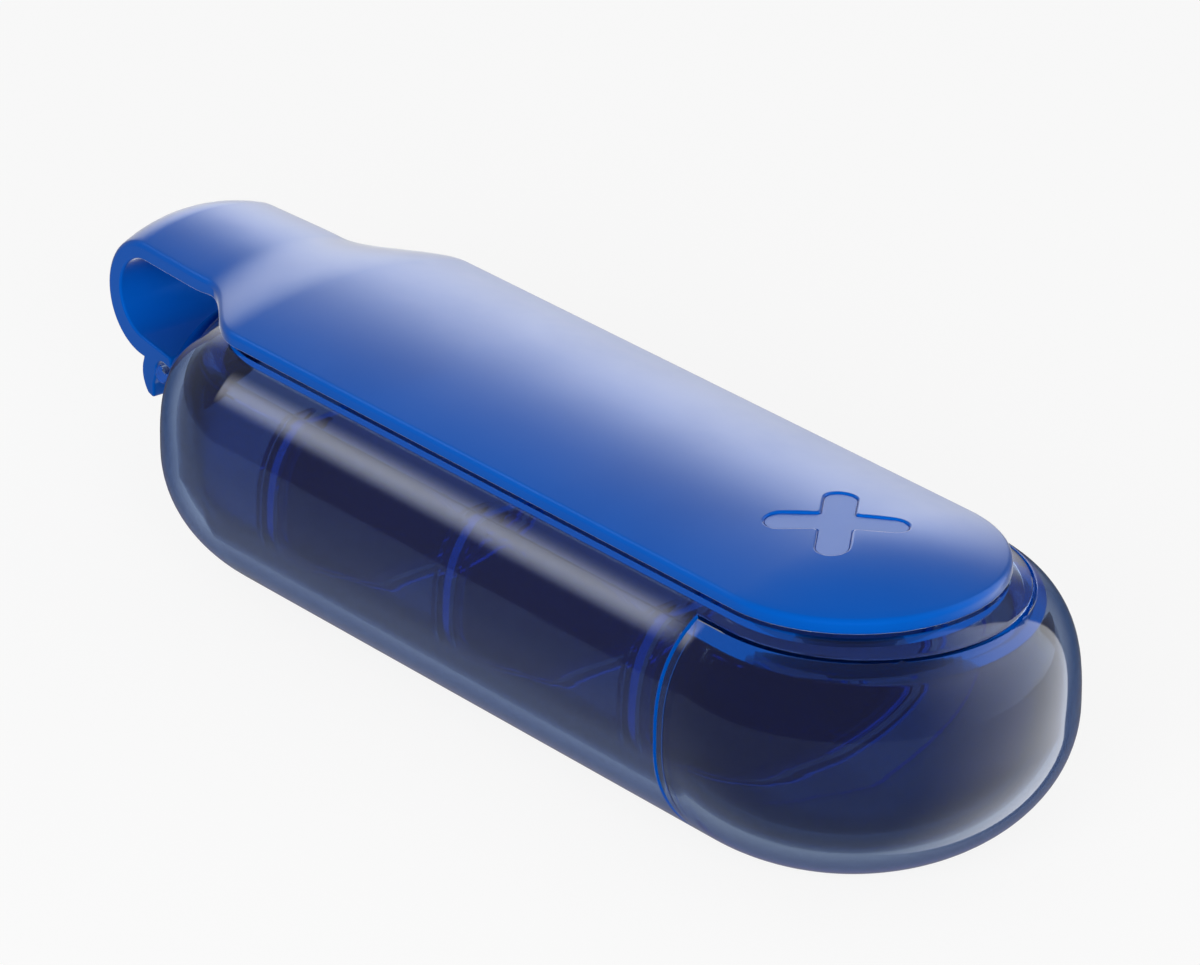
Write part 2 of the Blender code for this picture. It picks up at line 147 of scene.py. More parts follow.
def rounded(before: Pair, corner: Pair, after: Pair, radius: float, steps: int = 6) -> list[Pair]:
    """Return the arc that rounds one corner of an outline.

    Args:
        before: the outline's point before the corner.
        corner: the corner itself.
        after: the point after it.
        radius: the radius of the rounding.
        steps: how many chords it has.

    Returns:
        Points from the first touching point to the last.
    """
    middle = Vector(corner)
    arrive = (Vector(before) - middle).normalized()
    leave = (Vector(after) - middle).normalized()
    half = arrive.angle(leave) / 2
    cut = radius / math.tan(half)
    hub = middle + (arrive + leave).normalized() * (radius / math.sin(half))
    first = (middle + arrive * cut - hub).normalized()
    last = (middle + leave * cut - hub).normalized()
    points = []
    for share in spread(0.0, 1.0, steps):
        spoke = first.slerp(last, share) * radius
        points.append((hub.x + spoke.x, hub.y + spoke.y))
    return points


def quarter_insets(radius: float, steps: int) -> list[float]:
    """Return distances in from an edge that show its rounding evenly."""
    return [radius * (1.0 - math.cos(math.radians(turn))) for turn in spread(0.0, 90.0, steps)]


def bearing(turn: float, tilt: float) -> Vector:
    """Return a direction.

    Args:
        turn: degrees about Z, counted from +X.
        tilt: degrees up from level.

    Returns:
        The direction as a unit vector.
    """
    turn, tilt = math.radians(turn), math.radians(tilt)
    return Vector((math.cos(turn) * math.cos(tilt), math.sin(turn) * math.cos(tilt), math.sin(tilt)))


def edge_drop(distance: float, radius: float) -> float:
    """Return how far a rounded edge lies below its flat face.

    Args:
        distance: how far in from the edge it is read.
        radius: the rounding's radius.

    Returns:
        The drop, zero past the rounding.
    """
    if distance >= radius:
        return 0.0
    return radius - math.sqrt(max(radius * radius - (radius - distance) ** 2, 0.0))


def close_rims(bm: bmesh.types.BMesh) -> None:
    """Fill every open rim of a mesh with one face."""
    rims = [edge for edge in bm.edges if edge.is_boundary]
    bmesh.ops.holes_fill(bm, edges=rims, sides=0)


def shaped_grid(columns: int, rows: int, place: Callable[[int, int], Vector]) -> bmesh.types.BMesh:
    """Return a grid whose corners are moved to place(column, row).

    Args:
        columns: how many corners it has one way.
        rows: how many corners it has the other way.
        place: gives a corner's point.

    Returns:
        The grid, with corners that meet merged.
    """
    bm = bmesh.new()
    bmesh.ops.create_grid(bm, x_segments=columns - 1, y_segments=rows - 1, size=1.0)
    for vert in bm.verts:
        column = round((vert.co.x + 1.0) / 2.0 * (columns - 1))
        row = round((vert.co.y + 1.0) / 2.0 * (rows - 1))
        vert.co = place(column, row)
    bmesh.ops.remove_doubles(bm, verts=bm.verts, dist=WELD)
    return bm


def run_round(profile: Iterable[Pair], left: float, right: float, steps: int,
              closed: bool = False) -> bmesh.types.BMesh:
    """Run a profile once around a stadium and close what stays open.

    Args:
        profile: (reach, world height) points.
        left: x of the centre of the left half turn.
        right: x of the centre of the right half turn.
        steps: chords in each half turn.
        closed: whether the profile is a ring of its own.

    Returns:
        The swept mesh.
    """
    bm = bmesh.new()
    verts = [bm.verts.new((right, -reach, height)) for reach, height in profile]
    edges = [bm.edges.new(pair) for pair in zip(verts, verts[1:])]
    if closed:
        edges.append(bm.edges.new((verts[-1], verts[0])))
    geom = verts + edges
    for centre, shift in ((right, left - right), (left, right - left)):
        turned = bmesh.ops.spin(bm, geom=geom, cent=(centre, 0.0, 0.0), axis=(0.0, 0.0, 1.0),
                                angle=math.pi, steps=steps, use_duplicate=False)
        last = [item for item in turned["geom_last"] if isinstance(item, bmesh.types.BMEdge)]
        drawn = bmesh.ops.extrude_edge_only(bm, edges=last)
        geom = [item for item in drawn["geom"] if not isinstance(item, bmesh.types.BMFace)]
        moved = [item for item in geom if isinstance(item, bmesh.types.BMVert)]
        bmesh.ops.translate(bm, verts=moved, vec=(shift, 0.0, 0.0))
    bmesh.ops.remove_doubles(bm, verts=bm.verts, dist=WELD)
    if not closed:
        close_rims(bm)
    return bm


def stadium(radius: float, left: float, right: float, low: float, high: float,
            steps: int) -> bmesh.types.BMesh:
    """Return an upright stadium prism between two world heights.

    Args:
        radius: of its half turns.
        left: x of the left centre.
        right: x of the right centre.
        low: world height of its foot.
        high: world height of its top.
        steps: chords in each half turn.

    Returns:
        The prism.
    """
    return run_round([(radius, low), (radius, high)], left, right, steps)


def block(low: tuple[float, float, float], high: tuple[float, float, float]) -> bmesh.types.BMesh:
    """Return a box between two corners.

    Args:
        low: its lowest corner.
        high: its highest corner.

    Returns:
        The box.
    """
    bm = bmesh.new()
    size = Vector(high) - Vector(low)
    middle = Matrix.Translation((Vector(high) + Vector(low)) / 2)
    bmesh.ops.create_cube(bm, size=1.0, matrix=middle @ Matrix.Diagonal((*size, 1.0)))
    return bm


def pushed_up(outline: list[Vector], rise: Vector) -> bmesh.types.BMesh:
    """Return a flat outline drawn out along one direction.

    Args:
        outline: the outline's points, all in one plane.
        rise: how far and which way it is drawn out.

    Returns:
        The solid between both ends.
    """
    bm = bmesh.new()
    face = bm.faces.new([bm.verts.new(point) for point in outline])
    drawn = bmesh.ops.extrude_face_region(bm, geom=[face])
    moved = [item for item in drawn["geom"] if isinstance(item, bmesh.types.BMVert)]
    bmesh.ops.translate(bm, verts=moved, vec=rise)
    return bm


def linked(name: str, data: bpy.types.ID) -> Piece:
    """Return a new object in the scene that shows the given data."""
    made = bpy.data.objects.new(name, data)
    bpy.context.scene.collection.objects.link(made)
    return made


def as_object(name: str, bm: bmesh.types.BMesh) -> Piece:
    """Turn a bmesh into a linked object with its faces outwards.

    Args:
        name: the object's name.
        bm: the mesh, which is freed.

    Returns:
        The object, at the origin.
    """
    bmesh.ops.remove_doubles(bm, verts=bm.verts, dist=WELD)
    bmesh.ops.recalc_face_normals(bm, faces=bm.faces)
    mesh = bpy.data.meshes.new(name)
    bm.to_mesh(mesh)
    bm.free()
    return linked(name, mesh)


def as_bmesh(piece: Piece) -> bmesh.types.BMesh:
    """Turn an object back into a bmesh and remove the object."""
    bm = bmesh.new()
    bm.from_mesh(piece.data)
    remove(piece)
    return bm


def remove(piece: Piece) -> None:
    """Remove an object and its mesh."""
    spent = piece.data
    bpy.data.objects.remove(piece, do_unlink=True)
    bpy.data.meshes.remove(spent)


def settle(piece: Piece) -> None:
    """Apply every modifier of a piece to its mesh."""
    evaluated = piece.evaluated_get(bpy.context.evaluated_depsgraph_get())
    settled = bpy.data.meshes.new_from_object(evaluated)
    spent = piece.data
    piece.modifiers.clear()
    piece.data = settled
    bpy.data.meshes.remove(spent)


def combine(piece: Piece, helper: bmesh.types.BMesh, how: Cut) -> None:
    """Cut a helper out of a piece or add it, and remove the helper.

    Args:
        piece: the piece to change.
        helper: the closed mesh that acts on it.
        how: whether it takes away or adds.
    """
    tool = as_object(piece.name + "_tool", helper)
    step = piece.modifiers.new("step", "BOOLEAN")
    step.operation = how.value
    step.solver = "EXACT"
    step.object = tool
    settle(piece)
    remove(tool)


def round_rims(piece: Piece, width: float, chosen: Callable[[bmesh.types.BMEdge], bool],
               segments: int = 3, weld: float = 0.00004) -> None:
    """Round the chosen sharp edges of a piece.

    Hollow faces are first split into plain ones, so that a rounding can't fold
    one over its own hollow.

    Args:
        piece: the piece to change.
        width: how far the rounding reaches on each face.
        chosen: tells whether one sharp edge is rounded.
        segments: how many facets the rounding has.
        weld: the length below which an edge is merged away first.
    """
    bm = bmesh.new()
    bm.from_mesh(piece.data)
    bmesh.ops.dissolve_degenerate(bm, dist=weld, edges=bm.edges)
    bmesh.ops.connect_verts_concave(bm, faces=bm.faces)
    rims = [edge for edge in bm.edges
            if edge.is_manifold and edge.calc_face_angle() > RIM_ANGLE and chosen(edge)]
    bmesh.ops.bevel(bm, geom=rims, offset=width, offset_type="OFFSET", segments=segments, profile=0.5,
                    affect="EDGES", clamp_overlap=False, material=-1)
    bm.to_mesh(piece.data)
    bm.free()


def dress(piece: Piece, material: Material, body: Body, slot: Slot, replaced: Iterable[str] = (),
          sharp: float = SHARP_ANGLE) -> Piece:
    """Give a finished piece its shading, finish and body.

    Args:
        piece: the piece, at the origin.
        material: its finish.
        body: the body that it moves with.
        slot: not used.
        replaced: the frame's nodes that it stands for.
        sharp: edges that bend more than this stay sharp.

    Returns:
        The piece.
    """
    finish_surface(piece, material, sharp)
    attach(piece, body.value)
    if replaced:
        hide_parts(*replaced)
    log.info("%s rides on %s with %d faces", piece.name, body.value, len(piece.data.polygons))
    return piece


def finish_surface(piece: Piece, material: Material, sharp: float,
                   creased: Callable[[bmesh.types.BMEdge], bool] | None = None) -> None:
    """Shade a piece smooth up to an angle and give it one material.

    The normals are weighted by area, so that a rounded rim doesn't bend the
    reflections of the large face beside it.

    Args:
        piece: the piece.
        material: its finish.
        sharp: edges that bend more than this stay sharp.
        creased: tells which other edges stay sharp at a slight bend.
    """
    piece.data.materials.clear()
    piece.data.materials.append(material)
    piece.data.shade_smooth()
    piece.data.set_sharp_from_angle(angle=sharp)
    if creased:
        crease(piece, creased)
    weighted = piece.modifiers.new("weighted", "WEIGHTED_NORMAL")
    weighted.mode = "FACE_AREA"
    weighted.keep_sharp = True
    settle(piece)


def crease(piece: Piece, creased: Callable[[bmesh.types.BMEdge], bool]) -> None:
    """Mark the chosen edges of a piece sharp where they bend at all."""
    bm = bmesh.new()
    bm.from_mesh(piece.data)
    for edge in bm.edges:
        if edge.is_manifold and edge.calc_face_angle() > CREASE_ANGLE and creased(edge):
            edge.smooth = False
    bm.to_mesh(piece.data)
    bm.free()


class Wiring:
    """Adds nodes to one node tree from left to right and links them."""

    def __init__(self, tree: bpy.types.NodeTree) -> None:
        """Start with the tree that the nodes go into."""
        self.tree = tree
        self.column = 0

    def add(self, kind: str, inputs: dict[str | int, object] | None = None,
            **settings: object) -> bpy.types.Node:
        """Add one node.

        Args:
            kind: the node's type.
            inputs: a value or a socket for each input, by name or number.
            settings: properties of the node itself.

        Returns:
            The node.
        """
        node = self.tree.nodes.new(kind)
        node.location = (NODE_STEP * self.column, 0.0)
        self.column += 1
        for name, value in settings.items():
            setattr(node, name, value)
        self.feed_all(node, inputs or {})
        return node

    def feed_all(self, node: bpy.types.Node, inputs: dict[str | int, object]) -> None:
        """Feed several inputs of a node, by name or number."""
        for key, value in inputs.items():
            self.feed(node.inputs[key], value)

    def feed(self, socket: bpy.types.NodeSocket, value: object) -> None:
        """Link a socket to an input, or set the input's own value."""
        if isinstance(value, bpy.types.NodeSocket):
            self.tree.links.new(value, socket)
        else:
            socket.default_value = value

    def math(self, operation: str, first: object, second: object = 0.0) -> bpy.types.NodeSocket:
        """Return the result of one sum on two values or sockets."""
        return self.add("ShaderNodeMath", {0: first, 1: second}, operation=operation).outputs[0]

    def remap(self, value: object, old: tuple[object, object],
              new: tuple[object, object]) -> bpy.types.NodeSocket:
        """Return a value carried smoothly from one range to another.

        Args:
            value: the socket to carry over.
            old: the range that it comes from, as values or sockets.
            new: the range that it goes to, likewise.

        Returns:
            The result's socket.
        """
        inputs = {"Value": value, "From Min": old[0], "From Max": old[1],
                  "To Min": new[0], "To Max": new[1]}
        return self.add("ShaderNodeMapRange", inputs, interpolation_type="SMOOTHSTEP").outputs["Result"]

    def mix_numbers(self, share: object, first: object, second: object) -> bpy.types.NodeSocket:
        """Return a number between two, nearer the second as the share grows.

        The node's sockets go by number, because the kinds share their names.
        """
        return self.add("ShaderNodeMix", {0: share, 2: first, 3: second}, data_type="FLOAT").outputs[0]

    def mix_colours(self, share: object, first: object, second: object) -> bpy.types.NodeSocket:
        """Return a colour between two, nearer the second as the share grows."""
        return self.add("ShaderNodeMix", {0: share, 6: first, 7: second}, data_type="RGBA").outputs[2]

    def place(self, kind: str = "Object") -> bpy.types.NodeSocket:
        """Return one kind of texture coordinates."""
        return self.add("ShaderNodeTexCoord").outputs[kind]

    def effect(self, tree: bpy.types.NodeTree, inputs: dict[str, object]) -> bpy.types.NodeSocket:
        """Return what one of the shared effects puts out."""
        return self.add("ShaderNodeGroup", inputs, node_tree=tree).outputs[0]

    def background_share(self) -> bpy.types.NodeSocket:
        """Return 1 for light that shows the background, seen plainly or through clear plastic."""
        path = self.add("ShaderNodeLightPath").outputs
        return self.math("MAXIMUM", path["Is Camera Ray"], path["Is Transmission Ray"])

    def glow_over(self, strength: object, under: bpy.types.Node) -> None:
        """End a material in a white glow that is added to another shader."""
        light = self.add("ShaderNodeEmission", {"Strength": strength})
        both = self.add("ShaderNodeAddShader", {0: light.outputs[0], 1: under.outputs[0]})
        self.add("ShaderNodeOutputMaterial", {"Surface": both.outputs[0]})

    def noise(self, place: bpy.types.NodeSocket, scale: object, detail: float) -> bpy.types.NodeSocket:
        """Return a soft noise between 0 and 1 at one scale."""
        inputs = {"Vector": place, "Scale": scale, "Detail": detail}
        return self.add("ShaderNodeTexNoise", inputs).outputs["Fac"]

    def bump(self, height: object, strength: float, distance: float) -> bpy.types.NodeSocket:
        """Return normals that a relief tilts."""
        inputs = {"Height": height, "Strength": strength, "Distance": distance}
        return self.add("ShaderNodeBump", inputs).outputs["Normal"]


def new_material(name: str, cleared: bool = False) -> tuple[Material, Wiring]:
    """Return a new material and the wiring of its nodes.

    Args:
        name: the material's name.
        cleared: whether it starts without any node.

    Returns:
        The material and its wiring.
    """
    made = bpy.data.materials.new(name)
    made.use_nodes = True
    if cleared:
        made.node_tree.nodes.clear()
    return made, Wiring(made.node_tree)


class EffectGroups:
    """Node groups that several finishes share, each with one output."""

    GRAIN_DETAIL = 2.0
    WAVE_DETAIL = 1.0
    PATCH_DETAIL = 4.0
    MARK_DETAIL = 3.0
    MARK_FINENESS = 9.0
    HAZE_SPAN = (0.38, 0.64)
    DRIFT_DETAIL = 3.0
    DRIFT_SPAN = (0.35, 0.65)
    LINE_TURN = (0.2, 0.5, 0.35)
    LINE_STRETCH = (0.06, 1.0, 1.0)
    LINE_LEVEL = 0.5

    def __init__(self) -> None:
        """Build every group once."""
        self.grain = self.fine_grain()
        self.haze = self.handling_haze()
        self.drift = self.tone_drift()
        self.lines = self.hairlines()

    def start(self, name: str, inputs: dict[str, object], output: tuple[str, str]) \
            -> tuple[Wiring, bpy.types.NodeOutputs, bpy.types.NodeSocket]:
        """Start a group with its named sockets.

        Args:
            name: the group's name.
            inputs: the start value of each input, a number or a colour.
            output: name and kind of its output.

        Returns:
            The wiring of its tree, what is given to it and its result's socket.
        """
        tree = bpy.data.node_groups.new(name, "ShaderNodeTree")
        for label, value in inputs.items():
            kind = NUMBER if isinstance(value, float) else COLOUR
            socket = tree.interface.new_socket(name=label, in_out="INPUT", socket_type=kind)
            socket.default_value = value
        tree.interface.new_socket(name=output[0], in_out="OUTPUT", socket_type=output[1])
        wires = Wiring(tree)
        given = wires.add("NodeGroupInput").outputs
        return wires, given, tree.nodes.new("NodeGroupOutput").inputs[0]

    def fine_grain(self) -> bpy.types.NodeTree:
        """Relief of a moulded surface: a tight grain over a slow waviness."""
        wires, given, result = self.start(
            "fine_grain", {"Grain Scale": 5000.0, "Wave Scale": 90.0, "Wave Share": 0.3},
            ("Height", NUMBER))
        place = wires.place()
        grain = wires.noise(place, given["Grain Scale"], self.GRAIN_DETAIL)
        wave = wires.noise(place, given["Wave Scale"], self.WAVE_DETAIL)
        wires.feed(result, wires.mix_numbers(given["Wave Share"], grain, wave))
        return wires.tree

    def handling_haze(self) -> bpy.types.NodeTree:
        """Roughness that varies between clean and handled places."""
        wires, given, result = self.start(
            "handling_haze", {"Clean": 0.03, "Handled": 0.08, "Patch Scale": 60.0, "Mark Share": 0.25},
            ("Roughness", NUMBER))
        place = wires.place()
        patches = wires.noise(place, given["Patch Scale"], self.PATCH_DETAIL)
        fine_scale = wires.math("MULTIPLY", given["Patch Scale"], self.MARK_FINENESS)
        marks = wires.noise(place, fine_scale, self.MARK_DETAIL)
        blend = wires.mix_numbers(given["Mark Share"], patches, marks)
        wires.feed(result, wires.remap(blend, self.HAZE_SPAN, (given["Clean"], given["Handled"])))
        return wires.tree

    def tone_drift(self) -> bpy.types.NodeTree:
        """A colour that drifts slowly between two tones."""
        wires, given, result = self.start(
            "tone_drift", {"Tone": WHITE, "Second Tone": BLACK, "Drift Scale": 40.0}, ("Color", COLOUR))
        cloud = wires.noise(wires.place(), given["Drift Scale"], self.DRIFT_DETAIL)
        share = wires.remap(cloud, self.DRIFT_SPAN, (0.0, 1.0))
        wires.feed(result, wires.mix_colours(share, given["Tone"], given["Second Tone"]))
        return wires.tree

    def hairlines(self) -> bpy.types.NodeTree:
        """Relief of fine lines drawn along the part, as handling leaves them."""
        wires, given, result = self.start(
            "hairlines", {"Line Scale": 220.0, "Line Width": 0.012, "Bend": 0.35}, ("Height", NUMBER))
        turned = wires.add("ShaderNodeMapping", {"Vector": wires.place(), "Rotation": self.LINE_TURN,
                                                 "Scale": self.LINE_STRETCH})
        veins = wires.noise(turned.outputs[0], given["Line Scale"], given["Bend"])
        centre = wires.math("ABSOLUTE", wires.math("SUBTRACT", veins, self.LINE_LEVEL))
        wires.feed(result, wires.remap(centre, (0.0, given["Line Width"]), (0.0, 1.0)))
        return wires.tree


def two_tones(first: Colour, second: Colour) -> dict[str, object]:
    """Return what the drift between two tones is given."""
    return {"Tone": (*first, 1.0), "Second Tone": (*second, 1.0)}


@dataclass(frozen=True)
class SoftTouch:
    """Satin silicone with a fine grain, a drifting tone and handled places."""

    groups: EffectGroups
    name: str = "soft_touch_blue"
    tone: Colour = (0.0, 0.105, 0.54)
    second_tone: Colour = (0.0, 0.095, 0.50)
    clean: float = 0.285
    handled: float = 0.325
    specular: float = 0.5
    specular_tint: Colour = (0.1, 0.35, 1.0)
    sheen: float = 1.0
    sheen_roughness: float = 0.25
    grain_scale: float = 5200.0
    relief: float = 0.0000025
    relief_strength: float = 0.35

    def material(self) -> Material:
        """Return the finish as a material."""
        made, wires = new_material(self.name)
        tone = wires.effect(self.groups.drift, two_tones(self.tone, self.second_tone))
        haze = wires.effect(self.groups.haze, {"Clean": self.clean, "Handled": self.handled})
        grain = wires.effect(self.groups.grain, {"Grain Scale": self.grain_scale})
        wires.feed_all(made.node_tree.nodes["Principled BSDF"], {
            "Base Color": tone,
            "Roughness": haze,
            "Normal": wires.bump(grain, self.relief_strength, self.relief),
            "Specular IOR Level": self.specular,
            "Specular Tint": (*self.specular_tint, 1.0),
            "Sheen Weight": self.sheen,
            "Sheen Roughness": self.sheen_roughness,
            "Sheen Tint": WHITE,
        })
        return made


@dataclass(frozen=True)
class ClearPlastic:
    """Tinted clear plastic, polished, with a faint haze and hairlines.

    Light that stays trapped between the walls ends after many bounces, or a few
    glossy ones, in a painted glow of the saturated blue that a thick layer of the
    plastic shows. Where the surface turns away from the view, the colour darkens:
    partly the darker tint of a longer path through the wall, partly painted shade
    at the rims.
    """

    groups: EffectGroups
    name: str
    tint: Colour
    second_tint: Colour
    # Painted shade: the colour that rims turning away from the view darken to.
    painted_rim_shade_tint: Colour = (0.008, 0.035, 0.15)
    painted_rim_shade_facing: Pair = (0.45, 0.78)
    # Painted light: the glow that ends paths trapped between the walls.
    caught_painted_glow: Colour = (0.0, 0.045, 0.20)
    painted_glow_after_bounces: float = 8.5
    painted_glow_after_glossy_bounces: float = 2.5
    clean: float = 0.01
    handled: float = 0.025
    patch_scale: float = 24.0
    clearness: float = 1.0
    refraction: float = 1.45
    relief: float = 0.000001
    relief_strength: float = 0.25

    def material(self) -> Material:
        """Return the finish as a material."""
        made, wires = new_material(self.name)
        tone = wires.effect(self.groups.drift, two_tones(self.tint, self.second_tint))
        haze = wires.effect(self.groups.haze, {"Clean": self.clean, "Handled": self.handled,
                                               "Patch Scale": self.patch_scale, "Mark Share": 0.0})
        lines = wires.effect(self.groups.lines, {})
        # Paths trapped too long turn black and glow in a painted blue instead.
        path = wires.add("ShaderNodeLightPath").outputs
        caught_painted_glow = wires.math("MAXIMUM", wires.math("GREATER_THAN", path["Ray Depth"], self.painted_glow_after_bounces),
                            wires.math("GREATER_THAN", path["Glossy Depth"], self.painted_glow_after_glossy_bounces))
        # Painted shade: the colour darkens towards the rim colour where the surface turns away from the
        # view.
        facing = wires.add("ShaderNodeLayerWeight").outputs["Facing"]
        painted_rim_shade_share = wires.remap(facing, self.painted_rim_shade_facing, (0.0, 1.0))
        tone_with_painted_rim_shade = wires.mix_colours(painted_rim_shade_share, tone, (*self.painted_rim_shade_tint, 1.0))
        wires.feed_all(made.node_tree.nodes["Principled BSDF"], {
            "Base Color": wires.mix_colours(caught_painted_glow, tone_with_painted_rim_shade, BLACK),
            "Emission Color": wires.mix_colours(caught_painted_glow, BLACK, (*self.caught_painted_glow, 1.0)),
            "Emission Strength": 1.0,
            "Roughness": haze,
            "Normal": wires.bump(lines, self.relief_strength, self.relief),
            "Transmission Weight": self.clearness,
            "IOR": self.refraction,
        })
        return made


@dataclass(frozen=True)
class CaseForm:
    """Round-sided stadium that the case, its front and its tray follow."""

    length: float
    width: float
    rise: float = 0.0140
    drop: float = 0.01425
    rise_power: float = 2.9
    drop_power: float = 2.07
    foot_trim: float = 0.00035
    deck_trim: float = 0.00185
    wall: float = 0.0016
    gap: float = 0.0003
    rise_steps: int = 20
    drop_steps: int = 26
    turn_steps: int = 60

    @classmethod
    def from_frame(cls) -> "CaseForm":
        """Take the overall size from the frame's shell and drawer front."""
        shell_low, shell_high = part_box("outer_shell")
        front_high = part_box("tray_front")[1]
        return cls(length=front_high.x - shell_low.x, width=shell_high.y - shell_low.y)

    @property
    def radius(self) -> float:
        """Return the radius of the half turns in plan."""
        return self.width / 2

    @property
    def end(self) -> float:
        """Return how far the case reaches from its middle."""
        return self.length / 2

    @property
    def spine(self) -> float:
        """Return how far the centres of the half turns lie from the middle."""
        return self.end - self.radius

    @property
    def lift(self) -> float:
        """Return the world height of the mid plane."""
        return self.drop - self.foot_trim

    @property
    def deck(self) -> float:
        """Return the height of the flat deck."""
        return self.rise - self.deck_trim

    def floor(self, inset: float) -> float:
        """Return the height of the flat underside of a body moved in by the inset."""
        return -(self.drop - inset - self.foot_trim)

    def reach(self, height: float, inset: float) -> float:
        """Return how far the side stands out at one height.

        Args:
            height: above the mid plane.
            inset: how far the side is moved in.

        Returns:
            The distance from the spine.
        """
        power = self.rise_power if height > 0.0 else self.drop_power
        half = (self.rise if height > 0.0 else self.drop) - inset
        share = min(abs(height) / half, 1.0)
        return (self.radius - inset) * (1.0 - share ** power) ** (1.0 / power)

    def side(self, inset: float, top: float, floor: float) -> list[Pair]:
        """Return (reach, height) points of the side from floor to top.

        The heights are spread by angle, so that the tight parts of the curve
        get the closest points.

        Args:
            inset: how far the side is moved in.
            top: the height of its last point.
            floor: the height of its first point.

        Returns:
            The points in order.
        """
        rise = self.rise - inset
        drop = self.drop - inset
        start = math.asin(min(1.0, (-floor / drop) ** (self.drop_power / 2)))
        end = math.asin(min(1.0, (top / rise) ** (self.rise_power / 2)))
        heights = [-drop * math.sin(turn) ** (2 / self.drop_power)
                   for turn in spread(start, 0.0, self.drop_steps)]
        heights += [rise * math.sin(turn) ** (2 / self.rise_power)
                    for turn in spread(0.0, end, self.rise_steps)[1:]]
        return [(self.reach(height, inset), height) for height in heights]

    def body(self, inset: float, top: float) -> bmesh.types.BMesh:
        """Return a closed solid that follows the side, moved in by the inset.

        Args:
            inset: how far it is moved in.
            top: the height of its flat top.

        Returns:
            The solid.
        """
        side = self.side(inset, top, self.floor(inset))
        profile = [(reach, height + self.lift) for reach, height in side]
        return run_round(profile, -self.spine, self.spine, self.turn_steps)


